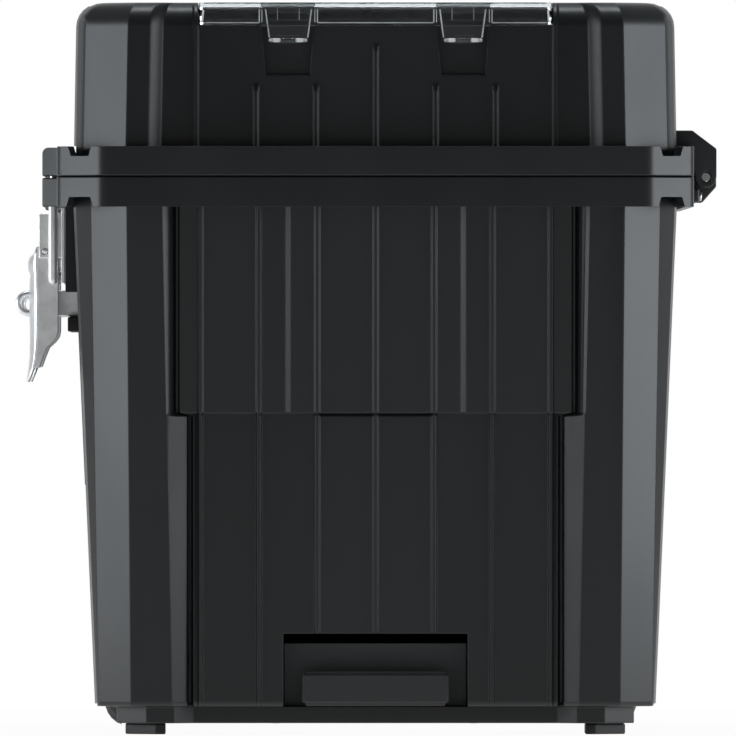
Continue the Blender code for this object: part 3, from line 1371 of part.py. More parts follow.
def build_latch(name, sign, metal, dark_metal):
    middle = sign * LATCH_Y
    pivot = (LEVER_X, middle, LEVER_Z)
    bail_pivot = (BAIL_X, middle, BAIL_Z)
    pad = -LATCH_PAD_FACE - FIT

    mesh = bmesh.new()
    add_box(mesh, (-LATCH_BASE_FACE, pad), (middle - BASE_HALF, middle + BASE_HALF),
            (LATCH_BASE_TOP - BASE_HEIGHT, LATCH_BASE_TOP))
    base = place_piece("latch_base_" + name, mesh, metal)
    mesh = bmesh.new()
    root = -LATCH_BASE_FACE + BASE_THICKNESS / 2
    outer = LEVER_X - EAR_REACH
    low = LEVER_Z - EAR_RADIUS
    ear = [(root, low), (root, LEVER_Z + EAR_RISE), (outer, LEVER_Z + EAR_RISE), (outer, low)]
    for side in (-1, 1):
        y = middle + side * EAR_SPREAD
        add_prism(mesh, ear, "y", (y - EAR_THICKNESS / 2, y + EAR_THICKNESS / 2))
    join(base, place_piece("latch_ears_" + name, mesh))
    mesh = bmesh.new()
    limits = (middle - LEVER_HALF - PAST, middle + LEVER_HALF + PAST)
    add_rod(mesh, pivot, "y", limits, LEVER_PIN_RADIUS + FIT, SMALL_SIDES)
    pin_bore = place_piece("lever_bore_" + name, mesh)
    cut(base, pin_bore)
    cut(base, LATCH_RIVET_HOLES)

    mesh = bmesh.new()
    reach = EAR_SPREAD + EAR_THICKNESS / 2
    add_rod(mesh, pivot, "y", (middle - reach, middle + reach), LEVER_PIN_RADIUS, SMALL_SIDES)
    place_piece("lever_pin_" + name, mesh, dark_metal, pivot, smooth=40)

    mesh = bmesh.new()
    add_prism(mesh, lever_plate_outline(), "y", (middle - LEVER_HALF, middle + LEVER_HALF))
    lever = place_piece("latch_lever_" + name, mesh, metal, pivot)
    mesh = bmesh.new()
    for side in (-1, 1):
        faces = sorted((middle + side * (LEVER_HALF - LEVER_SHEET), middle + side * (LEVER_HALF - FIT)))
        add_prism(mesh, lever_cheek_outline(), "y", faces)
    join(lever, place_piece("lever_cheeks_" + name, mesh))
    cut(lever, pin_bore)
    mesh = bmesh.new()
    add_rod(mesh, bail_pivot, "y", limits, BAIL_RADIUS + FIT, SMALL_SIDES)
    cut(lever, place_piece("bail_bore_" + name, mesh))
    mesh = bmesh.new()
    slot = EYE_RADIUS + EYE_SLOT_MARGIN
    half = EYE_THICKNESS / 2 + EYE_SLOT_MARGIN
    add_box(mesh, (LEVER_FACE - PAST, LEVER_FACE + LEVER_SHEET + OVERLAP), (middle - half, middle + half),
            (EYE_Z - slot, EYE_Z + slot))
    cut(lever, place_piece("eye_slot_" + name, mesh))

    mesh = bmesh.new()
    add_wire(mesh, bail_path(middle), BAIL_RADIUS, SMALL_SIDES)
    place_piece("latch_bail_" + name, mesh, metal, bail_pivot, smooth=50)

    mesh = bmesh.new()
    root = -EYE_PAD_FACE + EYE_ROOT
    tab = [(root, EYE_Z - EYE_RADIUS), (root, EYE_Z + EYE_RADIUS)]
    tab += arc((EYE_CENTRE, EYE_Z), EYE_RADIUS, 90, 270, 10)
    add_prism(mesh, tab, "y", (middle - EYE_THICKNESS / 2, middle + EYE_THICKNESS / 2))
    eye = place_piece("padlock_eye_" + name, mesh, metal, smooth=30)
    mesh = bmesh.new()
    add_rod(mesh, (EYE_HOLE_X, 0, EYE_Z), "y", (middle - PAST, middle + PAST), EYE_HOLE_RADIUS, PIN_SIDES)
    cut(eye, place_piece("eye_hole_" + name, mesh))


def build_rivets(finish):
    under = -LATCH_BASE_FACE - FIT
    head = under - RIVET_HEAD_HEIGHT
    start = -LATCH_BASE_FACE + RIVET_LENGTH
    profile = [(start, 0.0), (start, RIVET_RADIUS), (under, RIVET_RADIUS), (under, RIVET_HEAD_RADIUS),
               ((under + head) / 2, RIVET_HEAD_RADIUS), (head, RIVET_HEAD_RADIUS / 2), (head, 0.0)]
    for number, (y, z) in enumerate(base_rivet_places(), 1):
        mesh = bmesh.new()
        add_turned(mesh, profile, (0, y, z), "x", SMALL_SIDES)
        place_piece("base_rivet_" + str(number), mesh, finish, smooth=40)


# Tow handle
def add_tube_holes(mesh):
    for name, sign in SIDES:
        limits = (TUBE_START - FIT, TUNNEL_END)
        add_rod(mesh, (sign * TUBE_SPREAD, 0, TUBE_Z), "y", limits, TUBE_RADIUS + FIT,
                PIN_SIDES)


def build_tow_handle(grip_finish, tube_finish, plastic_finish, screw_finish):
    holes = make_tool("tube_holes", add_tube_holes)
    side = RECESS_HALF - FIT

    mesh = bmesh.new()
    face = PLINTH_FACE - GRIP_THICKNESS
    add_box(mesh, (-GRIP_HALF, GRIP_HALF), (face, PLINTH_FACE), (GRIP_BOTTOM, GRIP_BOTTOM + GRIP_HEIGHT))
    bmesh.ops.bevel(mesh, geom=mesh.edges[:], offset=BOTTOM_EDGE, segments=2, affect="EDGES")
    grip = place_piece("handle_grip", mesh, grip_finish)
    cut(grip, holes)

    for name, sign in SIDES:
        centre = (sign * TUBE_SPREAD, 0, TUBE_Z)
        mesh = bmesh.new()
        inner = TUBE_RADIUS - TUBE_WALL
        profile = [(TUBE_START, inner), (TUBE_START, TUBE_RADIUS), (SLIDER_END, TUBE_RADIUS),
                   (SLIDER_END, inner)]
        add_turned(mesh, profile, centre, "y", PIN_SIDES)
        place_piece("handle_tube_" + name, mesh, tube_finish, smooth=40)

    mesh = bmesh.new()
    add_box(mesh, (-side, side), (SLIDER_END - SLIDER_LENGTH, SLIDER_END),
            (COVER_TOP + FIT, RECESS_TOP - FIT))
    slider = place_piece("handle_slider", mesh, plastic_finish)
    cut(slider, holes)

    mesh = bmesh.new()
    add_box(mesh, (-side, side), (GUIDE_FACE, GUIDE_BACK), (RECESS_FLOOR + FIT, RECESS_TOP - GUIDE_SLOT))
    guide = place_piece("handle_guide", mesh, plastic_finish)
    cut(guide, holes)

    mesh = bmesh.new()
    width = RECESS_HALF + COVER_LEDGE - FIT
    limits = (GUIDE_BACK + WALL - COVER_LEDGE + FIT, TUNNEL_END + COVER_LEDGE - FIT)
    add_box(mesh, (-width, width), limits, (COVER_BOTTOM, COVER_TOP))
    cover = place_piece("tunnel_cover", mesh, plastic_finish)
    cut(cover, make_tool("cover_screw_holes", add_cover_screw_holes))

    under = COVER_BOTTOM - FIT
    head = under - SCREW_HEAD_HEIGHT
    start = COVER_TOP + RIVET_LENGTH
    profile = [(start, 0.0), (start, SCREW_RADIUS), (under, SCREW_RADIUS), (under, SCREW_HEAD_RADIUS),
               ((under + head) / 2, SCREW_HEAD_RADIUS), (head, SCREW_HEAD_RADIUS / 2), (head, 0.0)]
    for number, (x, y) in enumerate(cover_screw_places(), 1):
        mesh = bmesh.new()
        add_turned(mesh, profile, (x, y, 0), "z", SMALL_SIDES)
        place_piece("tunnel_screw_" + str(number), mesh, screw_finish, smooth=40)


# Wheels
def build_wheels(tyre_finish, rim_finish, axle_finish, cap_finish):
    seat = WHEEL_RADIUS - TYRE_DEPTH
    hub_out = WHEEL_OUTER - HUB_INSET
    hub_in = WELL_WALL + FIT
    web = (WHEEL_INNER + WHEEL_OUTER) / 2
    for name, sign in SIDES:
        centre = (0, WHEEL_Y, WHEEL_RADIUS)
        hub = (sign * web, WHEEL_Y, WHEEL_RADIUS)

        profile = [(WHEEL_INNER, seat + FIT), (WHEEL_INNER, WHEEL_RADIUS - TYRE_SHOULDER * 2),
                   (WHEEL_INNER + TYRE_SHOULDER, WHEEL_RADIUS - TYRE_SHOULDER / 2),
                   (WHEEL_INNER + TYRE_SHOULDER_WIDTH, WHEEL_RADIUS),
                   (WHEEL_OUTER - TYRE_SHOULDER_WIDTH, WHEEL_RADIUS),
                   (WHEEL_OUTER - TYRE_SHOULDER, WHEEL_RADIUS - TYRE_SHOULDER / 2),
                   (WHEEL_OUTER, WHEEL_RADIUS - TYRE_SHOULDER * 2), (WHEEL_OUTER, seat + FIT)]
        mesh = bmesh.new()
        add_turned(mesh, [(sign * along, radius) for along, radius in profile], centre, "x", WHEEL_SIDES)
        place_piece("tyre_" + name, mesh, tyre_finish, hub, smooth=30)

        half_web = WEB_THICKNESS / 2
        profile = [(hub_in, AXLE_RADIUS + FIT), (hub_in, HUB_RADIUS), (web - half_web, HUB_RADIUS),
                   (web - half_web, seat - RIM_BAND), (WHEEL_INNER + OVERLAP, seat - RIM_BAND),
                   (WHEEL_INNER + OVERLAP, seat), (WHEEL_OUTER - OVERLAP, seat),
                   (WHEEL_OUTER - OVERLAP, seat - RIM_BAND), (web + half_web, seat - RIM_BAND),
                   (web + half_web, HUB_RADIUS), (hub_out, HUB_RADIUS), (hub_out, AXLE_RADIUS + FIT)]
        mesh = bmesh.new()
        add_turned(mesh, [(sign * along, radius) for along, radius in profile], centre, "x", WHEEL_SIDES)
        place_piece("wheel_rim_" + name, mesh, rim_finish, hub, smooth=30)

        boss = WELL_WALL - WALL - AXLE_BOSS - FIT
        end = hub_out + HUB_CAP_HEIGHT - HUB_CAP_SKIN
        profile = [(boss - AXLE_HEAD, 0.0), (boss - AXLE_HEAD, AXLE_HEAD_RADIUS), (boss, AXLE_HEAD_RADIUS),
                   (boss, AXLE_RADIUS), (end, AXLE_RADIUS), (end, 0.0)]
        mesh = bmesh.new()
        add_turned(mesh, [(sign * along, radius) for along, radius in profile], centre, "x", PIN_SIDES)
        place_piece("wheel_axle_" + name, mesh, axle_finish, smooth=40)

        under = hub_out + FIT
        top = hub_out + HUB_CAP_HEIGHT
        profile = [(under, AXLE_RADIUS + FIT), (under, HUB_CAP_RADIUS), ((under + top) / 2, HUB_CAP_RADIUS),
                   (top, HUB_CAP_RADIUS * 0.8), (top, 0.0), (end + FIT, 0.0),
                   (end + FIT, AXLE_RADIUS + FIT)]
        mesh = bmesh.new()
        add_turned(mesh, [(sign * along, radius) for along, radius in profile], centre, "x", PIN_SIDES)
        place_piece("hub_cap_" + name, mesh, cap_finish, smooth=40)


clear_scene()

SHELL = make_finish("charcoal_plastic", (0.022, 0.024, 0.026), 0.45)
HINGE_PLASTIC = make_finish("hinge_plastic", (0.014, 0.015, 0.016), 0.50)
GRIP = make_finish("grip_plastic", (0.036, 0.037, 0.039), 0.50)
RUBBER = make_finish("rubber", (0.012, 0.012, 0.012), 0.75)
ZINC = make_finish("zinc_steel", (0.55, 0.56, 0.57), 0.32, 1.0)
STEEL = make_finish("bright_steel", (0.48, 0.48, 0.49), 0.28, 1.0)
CLEAR = make_finish("clear_plastic", (0.75, 0.78, 0.80), 0.12, 0.0, 0.35)
WHEEL_PLASTIC = make_finish("wheel_plastic", (0.05, 0.052, 0.055), 0.45)

RIM_RECESSES = make_tool("rim_recesses", add_rim_recesses)
LATCH_RIVET_HOLES = make_tool("latch_rivet_holes", add_latch_rivet_holes)

build_body(SHELL)
build_feet(RUBBER)
build_lid(SHELL, RUBBER)
build_organizers(CLEAR, STEEL, HINGE_PLASTIC)
build_hinges(STEEL, HINGE_PLASTIC, STEEL)
for end_name, end_sign in ENDS:
    build_latch(end_name, end_sign, ZINC, STEEL)
build_rivets(ZINC)
build_tow_handle(GRIP, STEEL, HINGE_PLASTIC, STEEL)
build_wheels(RUBBER, WHEEL_PLASTIC, STEEL, WHEEL_PLASTIC)
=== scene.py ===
# %% [markdown]
# # A rolling tool case
# The real thing is a chest of black moulded plastic: a deep body with a hinged lid, bright steel
# draw latches on one long side, clear organiser covers in the lid, a pull-out tow handle and two
# wheels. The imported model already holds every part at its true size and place. This lesson dresses
# it: soft edges, finishes, small details, light and a camera.

import json
import math

import bmesh
import bpy
from mathutils import Matrix, Vector
from mathutils.geometry import intersect_point_line

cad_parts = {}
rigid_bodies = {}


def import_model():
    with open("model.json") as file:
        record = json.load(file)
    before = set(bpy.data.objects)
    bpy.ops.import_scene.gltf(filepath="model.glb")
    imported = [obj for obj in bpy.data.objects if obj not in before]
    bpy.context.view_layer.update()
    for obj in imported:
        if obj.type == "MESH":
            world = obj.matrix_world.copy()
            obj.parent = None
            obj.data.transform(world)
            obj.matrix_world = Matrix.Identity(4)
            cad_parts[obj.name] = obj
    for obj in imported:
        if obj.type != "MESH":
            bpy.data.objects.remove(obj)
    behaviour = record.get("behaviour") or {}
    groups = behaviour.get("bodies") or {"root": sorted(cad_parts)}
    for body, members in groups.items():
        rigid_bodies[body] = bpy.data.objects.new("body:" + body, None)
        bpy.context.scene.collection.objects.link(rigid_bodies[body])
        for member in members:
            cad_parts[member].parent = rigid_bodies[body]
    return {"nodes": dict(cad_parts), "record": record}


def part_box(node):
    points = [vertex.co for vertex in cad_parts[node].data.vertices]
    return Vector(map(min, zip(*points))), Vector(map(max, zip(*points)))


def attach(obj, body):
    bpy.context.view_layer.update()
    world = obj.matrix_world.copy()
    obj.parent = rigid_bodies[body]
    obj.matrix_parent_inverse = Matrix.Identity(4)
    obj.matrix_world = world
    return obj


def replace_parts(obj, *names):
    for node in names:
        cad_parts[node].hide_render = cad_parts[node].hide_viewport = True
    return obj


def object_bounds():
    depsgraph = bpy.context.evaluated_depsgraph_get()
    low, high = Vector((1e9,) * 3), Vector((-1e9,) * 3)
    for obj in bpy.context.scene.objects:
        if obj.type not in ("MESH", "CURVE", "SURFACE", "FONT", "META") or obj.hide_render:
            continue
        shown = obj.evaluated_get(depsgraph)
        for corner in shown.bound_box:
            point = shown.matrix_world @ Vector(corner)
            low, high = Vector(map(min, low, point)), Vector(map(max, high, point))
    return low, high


for item in list(bpy.data.objects):
    bpy.data.objects.remove(item, do_unlink=True)
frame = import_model()
cad_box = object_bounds()
record = frame["record"]
slot_of = {part["node"]: part["material_slot"] for part in record["subparts"]}
body_of = {node: body for body, nodes in record["behaviour"]["bodies"].items() for node in nodes}
MM = 0.001
print("nodes:", len(slot_of), "box in mm:", [round(value / MM, 1) for value in cad_box[1] - cad_box[0]])

# %% [markdown]
# ## Shader nodes in plain words
# A material is a small network of nodes. One helper makes a node, sets it and links it in a single
# call: an input given as a socket is linked, and an input given as a number is set.

# %% Helpers for nodes and node groups
def add_node(tree, kind, settings=None, inputs=None):
    """A shader node with its settings, its plain values and its links."""
    node = tree.nodes.new(kind)
    for key, value in (settings or {}).items():
        setattr(node, key, value)
    for key, value in (inputs or {}).items():
        if isinstance(value, bpy.types.NodeSocket):
            tree.links.new(value, node.inputs[key])
        else:
            node.inputs[key].default_value = value
    return node


def math_node(tree, operation, first, second=0.0):
    """The result of one sum."""
    node = add_node(tree, "ShaderNodeMath", {"operation": operation}, {0: first, 1: second})
    return node.outputs["Value"]


def times(tree, first, second):
    """Two values multiplied."""
    return math_node(tree, "MULTIPLY", first, second)


def spread(tree, value, low, high, to_low=0.0, to_high=1.0):
    """A value moved from one range to another and held inside it."""
    inputs = {"Value": value, "From Min": low, "From Max": high, "To Min": to_low, "To Max": to_high}
    return add_node(tree, "ShaderNodeMapRange", {"clamp": True}, inputs).outputs["Result"]


def mix_colour(tree, share, first, second):
    """A colour between two others."""
    return add_node(tree, "ShaderNodeMix", {"data_type": "RGBA"}, {0: share, 6: first, 7: second}).outputs[2]


def mix_value(tree, share, first, second):
    """A number between two others."""
    return add_node(tree, "ShaderNodeMix", {"data_type": "FLOAT"}, {0: share, 2: first, 3: second}).outputs[0]


def noise(tree, size, detail, squeeze=1.0, **more):
    """Noise with spots of a size in object coordinates, drawn out along z by a squeeze."""
    place = add_node(tree, "ShaderNodeTexCoord").outputs["Object"]
    drawn = add_node(tree, "ShaderNodeMapping", None, {"Vector": place, "Scale": (1.0, 1.0, squeeze)})
    scale = math_node(tree, "DIVIDE", 1.0, size)
    inputs = {"Vector": drawn.outputs["Vector"], "Scale": scale, "Detail": detail, **more}
    return add_node(tree, "ShaderNodeTexNoise", None, inputs).outputs["Fac"]


def start_group(name, inputs, outputs):
    """A new shader group: returns its tree, its input sockets and its output sockets."""
    group = bpy.data.node_groups.new(name, "ShaderNodeTree")
    print("made group:", name)
    for label, value in inputs:
        socket = group.interface.new_socket(label, in_out="INPUT", socket_type="NodeSocketFloat")
        socket.default_value = value
    for label in outputs:
        group.interface.new_socket(label, in_out="OUTPUT", socket_type="NodeSocketFloat")
    return group, group.nodes.new("NodeGroupInput").outputs, group.nodes.new("NodeGroupOutput").inputs


def use_group(tree, group, **values):
    """A group placed in a material with its own values."""
    node = add_node(tree, "ShaderNodeGroup", {"node_tree": group})
    for key, value in values.items():
        node.inputs[key.replace("_", " ")].default_value = value
    return node.outputs

# %% [markdown]
# ## Effects that several finishes share
# Moulds for such cases are spark-eroded, so the plastic has a fine even grain. Noise in object
# coordinates has the right size on every part and needs no unwrapping. Two octaves are enough: a
# coarse one to break up the shine and a fine one on top of it.

# %% Group: moulded grain
FINER, FINE_SHARE = 2.7, 0.4


def make_grain_group():
    group, given, result = start_group("moulded grain", [("Grain size", 0.0006)], ["Height", "Tone"])
    fine_size = math_node(group, "DIVIDE", given["Grain size"], FINER)
    fine = times(group, noise(group, fine_size, 0.0), FINE_SHARE)
    mixed = math_node(group, "ADD", noise(group, given["Grain size"], 1.0), fine)
    group.links.new(mixed, result["Height"])
    group.links.new(spread(group, mixed, 0.45, 0.95), result["Tone"])
    return group


GRAIN = make_grain_group()

# %% [markdown]
# Plastic is never one even black: it flows into the mould from a few gates and keeps slow, cloudy
# changes of tone and shine. Large soft noise, drawn out a little upwards, moves both the colour and
# the roughness.

# %% Group: flow clouds
def make_cloud_group():
    group, given, result = start_group("flow clouds", [("Cloud size", 0.08)], ["Tone"])
    cloud = noise(group, given["Cloud size"], 3.0, 0.45, Distortion=0.4)
    group.links.new(spread(group, cloud, 0.32, 0.68), result["Tone"])
    return group


CLOUDS = make_cloud_group()

# %% [markdown]
# Hands, car boots and shelves rub the outer edges first. Rays sent inwards from a convex edge soon
# leave through the neighbouring face, which an ambient occlusion node can measure when it looks
# inside. Noise breaks the line up, so the rub marks come and go along the edge.

# %% Group: rubbed edges
def make_rub_group():
    inputs = [("Reach", 0.0016), ("Patch size", 0.012)]
    group, given, result = start_group("rubbed edges", inputs, ["Mask"])
    settings = {"samples": 4, "inside": True, "only_local": True}
    inside = add_node(group, "ShaderNodeAmbientOcclusion", settings, {"Distance": given["Reach"]})
    edge = spread(group, inside.outputs["AO"], 0.75, 0.35)
    broken = spread(group, noise(group, given["Patch size"], 4.0), 0.38, 0.62)
    group.links.new(times(group, edge, broken), result["Mask"])
    return group


RUBBED = make_rub_group()

# %% [markdown]
# Dust settles on what faces up. The object's own normal is used, not the world's, so the dust
# stays where it settled when the lid swings open.

# %% Group: settled dust
def make_dust_group():
    group, given, result = start_group("settled dust", [("Speck size", 0.004)], ["Mask"])
    normal = add_node(group, "ShaderNodeTexCoord").outputs["Normal"]
    up = add_node(group, "ShaderNodeSeparateXYZ", None, {"Vector": normal}).outputs["Z"]
    facing = spread(group, up, 0.35, 0.95)
    drift = spread(group, noise(group, given["Speck size"], 5.0, Roughness=0.65), 0.42, 0.75)
    group.links.new(times(group, facing, drift), result["Mask"])
    return group


DUST = make_dust_group()

# %% [markdown]
# Sheet steel keeps the lines of the rolls, and its zinc plating has a faint cloudy bloom. Noise
# squeezed in one direction draws the lines.

# %% Group: rolled lines
BLOOM_SIZE = 1 / 90


def make_rolled_group():
    group, given, result = start_group("rolled lines", [("Line width", 0.0004)], ["Height", "Bloom"])
    group.links.new(noise(group, given["Line width"], 2.0, 0.03), result["Height"])
    group.links.new(spread(group, noise(group, BLOOM_SIZE, 4.0), 0.35, 0.65), result["Bloom"])
    return group


ROLLED = make_rolled_group()

# %% [markdown]
# ## Finishes
# One function makes every opaque plastic and rubber: two tones of one colour moved by the clouds,
# rubbed edges that are lighter and smoother, a breath of dust, and grain as bump. The values tell
# a satin shell from a matt tyre.

# %% Plastic and rubber finishes
CLOUD_TONES = (0.9, 1.1)
RUBBED_TONE, RUBBED_SHARE = 2.2, 0.35
DUST_COLOUR = (0.30, 0.29, 0.27, 1.0)
ROUGHNESS_DRIFT = 0.03
RUBBED_SMOOTHER, DUST_ROUGHER = 0.12, 0.5


def tone(colour, factor):
    """A colour made lighter or darker, with its alpha."""
    return (*(min(1.0, value * factor) for value in colour), 1.0)


def start_finish(name, colour):
    """A new material: returns it, its tree and its shader. The colour is for the solid view."""
    finish = bpy.data.materials.new(name)
    finish.use_nodes = True
    finish.diffuse_color = colour
    return finish, finish.node_tree, finish.node_tree.nodes["Principled BSDF"]


def add_bump(tree, shader, height, distance, strength):
    """Fine relief in the shading."""
    inputs = {"Height": height, "Distance": distance, "Strength": strength}
    bump = add_node(tree, "ShaderNodeBump", None, inputs)
    tree.links.new(bump.outputs["Normal"], shader.inputs["Normal"])


def make_plastic(name, colour, roughness, grain_size, grain_depth, dust=0.06, shine=0.35):
    finish, tree, shader = start_finish(name, (*colour, 1.0))
    grain = use_group(tree, GRAIN, Grain_size=grain_size)
    cloud = use_group(tree, CLOUDS)["Tone"]
    rubbed = times(tree, use_group(tree, RUBBED)["Mask"], RUBBED_SHARE)
    dusty = times(tree, use_group(tree, DUST)["Mask"], dust)
    base = mix_colour(tree, cloud, tone(colour, CLOUD_TONES[0]), tone(colour, CLOUD_TONES[1]))
    base = mix_colour(tree, rubbed, base, tone(colour, RUBBED_TONE))
    base = mix_colour(tree, dusty, base, DUST_COLOUR)
    tree.links.new(base, shader.inputs["Base Color"])
    rough = spread(tree, cloud, 0.0, 1.0, roughness - ROUGHNESS_DRIFT, roughness + ROUGHNESS_DRIFT)
    rough = math_node(tree, "SUBTRACT", rough, times(tree, rubbed, RUBBED_SMOOTHER))
    rough = math_node(tree, "ADD", rough, times(tree, dusty, DUST_ROUGHER))
    tree.links.new(rough, shader.inputs["Roughness"])
    add_bump(tree, shader, grain["Height"], grain_depth, strength=0.6)
    shader.inputs["Specular IOR Level"].default_value = shine
    return finish


# Colour, roughness, size and depth of the grain, and where they differ, dust and shine
PLASTICS = {
    "shell": ((0.0150, 0.0165, 0.0178), 0.36, 0.0006, 0.00006),
    "hinge_plastic": ((0.0320, 0.0337, 0.0350), 0.36, 0.0006, 0.00003),
    # Painted light: the guide's plastic is made lighter than its own to lift the shade in its recess
    "guide_plastic_painted_light": ((0.080, 0.084, 0.087), 0.45, 0.0008, 0.00005),
    "inner_plastic": ((0.018, 0.019, 0.020), 0.45, 0.0008, 0.00005),
    "grip": ((0.0420, 0.0432, 0.0446), 0.42, 0.0007, 0.00008),
    "foot_rubber": ((0.020, 0.020, 0.021), 0.55, 0.0010, 0.00008),
    "seal_rubber": ((0.012, 0.012, 0.012), 0.75, 0.0008, 0.00006),
    "tyre": ((0.015, 0.015, 0.015), 0.72, 0.0012, 0.00010, 0.18),
    # The next two are painted highlights for the covers' edges and bars, not a colour the plastic has
    "pale_painted_highlight": ((0.42, 0.44, 0.45), 0.25, 0.0008, 0.00002, 0.06, 0.5),
    "bright_painted_highlight": ((0.88, 0.90, 0.91), 0.25, 0.0008, 0.00002, 0.0, 0.5),
    "wheel_plastic": ((0.050, 0.052, 0.055), 0.42, 0.0006, 0.00004),
}
FINISHES = {name: make_plastic(name, *values) for name, values in PLASTICS.items()}
print("plastic and rubber finishes:", sorted(FINISHES))

# %% [markdown]
# The latches are zinc-plated sheet steel: a full metal whose tone and roughness wander with the
# bloom, with the rolled lines as bump. The tow tubes are darker and smoother, the pins darker still.

# %% Metal finishes
BLOOM_TONES = (0.86, 1.06)
BRIGHT_TONE, BRIGHT_SHARE = 1.3, 0.5
BLOOM_DRIFT = 0.05


def make_metal(name, colour, roughness, line_width, line_depth):
    finish, tree, shader = start_finish(name, (*colour, 1.0))
    rolled = use_group(tree, ROLLED, Line_width=line_width)
    rubbed = use_group(tree, RUBBED)["Mask"]
    base = mix_colour(tree, rolled["Bloom"], tone(colour, BLOOM_TONES[0]), tone(colour, BLOOM_TONES[1]))
    bright = times(tree, rubbed, BRIGHT_SHARE)
    base = mix_colour(tree, bright, base, tone(colour, BRIGHT_TONE))
    tree.links.new(base, shader.inputs["Base Color"])
    rough = spread(tree, rolled["Bloom"], 0.0, 1.0, roughness + BLOOM_DRIFT, roughness - BLOOM_DRIFT)
    tree.links.new(rough, shader.inputs["Roughness"])
    add_bump(tree, shader, rolled["Height"], line_depth, strength=0.5)
    shader.inputs["Metallic"].default_value = 1.0
    return finish


# Colour, roughness, width and depth of the lines
METALS = {"zinc_steel": ((0.90, 0.91, 0.92), 0.44, 0.0004, 0.00003),
          "tube_steel": ((0.60, 0.60, 0.61), 0.16, 0.0003, 0.00001),
          "pin_steel": ((0.48, 0.48, 0.49), 0.32, 0.0003, 0.00002)}
for name, values in METALS.items():
    FINISHES[name] = make_metal(name, *values)
print("metal finishes:", sorted(METALS))

# %% [markdown]
# The organiser covers are clear polycarbonate with a smoky tint. Light goes through them, so the
# dividers below show. The surface changes little: the tint and the relief have a faint wave from
# the mould, and the roughness has fine scuffs. Most shadow rays pass, so that the bins get light.

# %% Clear plastic finish
CLEAR_TINTS = ((0.34, 0.355, 0.365, 1.0), (0.40, 0.415, 0.425, 1.0))
SHADOW_SHARE = 0.25


def make_clear(name):
    finish, tree, shader = start_finish(name, (0.5, 0.52, 0.54, 0.5))
    cloud = use_group(tree, CLOUDS, Cloud_size=0.03)["Tone"]
    grain = use_group(tree, GRAIN, Grain_size=0.004)
    tree.links.new(mix_colour(tree, cloud, *CLEAR_TINTS), shader.inputs["Base Color"])
    tree.links.new(spread(tree, grain["Tone"], 0.0, 1.0, 0.02, 0.10), shader.inputs["Roughness"])
    add_bump(tree, shader, cloud, 0.0002, strength=0.3)
    shader.inputs["Transmission Weight"].default_value = 1.0
    shader.inputs["IOR"].default_value = 1.5
    rays = add_node(tree, "ShaderNodeLightPath").outputs
    cover = spread(tree, rays["Is Shadow Ray"], 0.0, 1.0, 1.0, SHADOW_SHARE)
    tree.links.new(cover, shader.inputs["Alpha"])
    return finish


FINISHES["clear_plastic"] = make_clear("clear_plastic")
print("finishes:", len(FINISHES))

# %% [markdown]
# ## Soft edges
# No moulding has a knife edge, and its small rounds catch the light. A bevel modifier rounds the
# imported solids' edges, but one width cannot suit both a thin rib and a broad pillar. So each edge
# first measures the room on its two faces, and takes a bevel weight from that.

# %% Measure the room beside each edge
WELD_DISTANCE = 0.002 * MM
FLAT_ANGLE = math.radians(0.4)
SHARP_ANGLE = math.radians(17)
ROOM_SHARE = 0.42
IN_LINE = 0.02 * MM


def point_gap(point, start, end):
    """The distance from a point to a stretch between two points."""
    share = intersect_point_line(point, start, end)[1]
    return (point - start.lerp(end, min(1.0, max(0.0, share)))).length


def edge_room(edge):
    """How far an edge can be rounded before it meets another edge of its faces."""
    start, end = edge.verts[0].co, edge.verts[1].co
    along = (end - start).normalized()
    room = 1.0
    for face in edge.link_faces:
        for other in face.edges:
            if other is edge:
                continue
            shared = [corner for corner in other.verts if corner in edge.verts]
            if shared:
                leg = other.other_vert(shared[0]).co - shared[0].co
                across = leg.cross(along).length
                if across > IN_LINE:
                    room = min(room, across)
                continue
            first, last = other.verts[0].co, other.verts[1].co
            gaps = [point_gap(first, start, end), point_gap(last, start, end)]
            gaps += [point_gap(start, first, last), point_gap(end, first, last)]
            room = min(room, *gaps)
    return room

# %% [markdown]
# The imported meshes are triangles. A soft copy joins those that lie in one plane, rounds the sharp
# edges by their weights and stands for its node in the finished scene.

# %% Make a soft copy of a imported node
# The handle guide gets a lighter plastic than its own, painted light against the shade deep in its recess
OWN_FINISH = {"handle_guide": "guide_plastic_painted_light"}
SMOOTH_SHARE = 0.05


def flat_areas(mesh):
    """The faces in groups that lie in one plane and hang together."""
    seen = set()
    for face in mesh.faces:
        if face in seen:
            continue
        seen.add(face)
        area = [face]
        for member in area:
            for edge in member.edges:
                if edge.calc_face_angle(1.0) < FLAT_ANGLE:
                    fresh = [other for other in edge.link_faces if other not in seen]
                    seen.update(fresh)
                    area += fresh
        yield area


def joined_mesh(node):
    """A node's triangles joined up, with each flat area as one face, unless it has holes."""
    mesh = bmesh.new()
    mesh.from_mesh(frame["nodes"][node].data)
    bmesh.ops.remove_doubles(mesh, verts=mesh.verts, dist=WELD_DISTANCE)
    inner_edges = []
    for area in flat_areas(mesh):
        corners = {corner for face in area for corner in face.verts}
        edges = {edge for face in area for edge in face.edges}
        if len(corners) - len(edges) + len(area) == 1:
            inner_edges += [edge for edge in edges if edge.calc_face_angle(1.0) < FLAT_ANGLE]
    bmesh.ops.dissolve_limit(mesh, angle_limit=FLAT_ANGLE, verts=mesh.verts, edges=inner_edges)
    return mesh


def new_object(name, mesh, finish):
    """An object in the scene from a mesh that is done."""
    data = bpy.data.meshes.new(name)
    mesh.to_mesh(data)
    mesh.free()
    data.materials.append(finish)
    item = bpy.data.objects.new(name, data)
    bpy.context.scene.collection.objects.link(item)
    return item


def finish_of(node):
    """The name of a node's finish: the one of its slot, unless it has its own."""
    return OWN_FINISH.get(node, slot_of[node])


def place_piece(name, mesh, node, slot=None, finish=None):
    """A new object that rides on a node's body, in its node's finish unless a slot or a finish is given."""
    piece = new_object(name, mesh, FINISHES[finish or slot or finish_of(node)])
    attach(piece, body_of[node])
    slot or slot_of[node]
    return piece


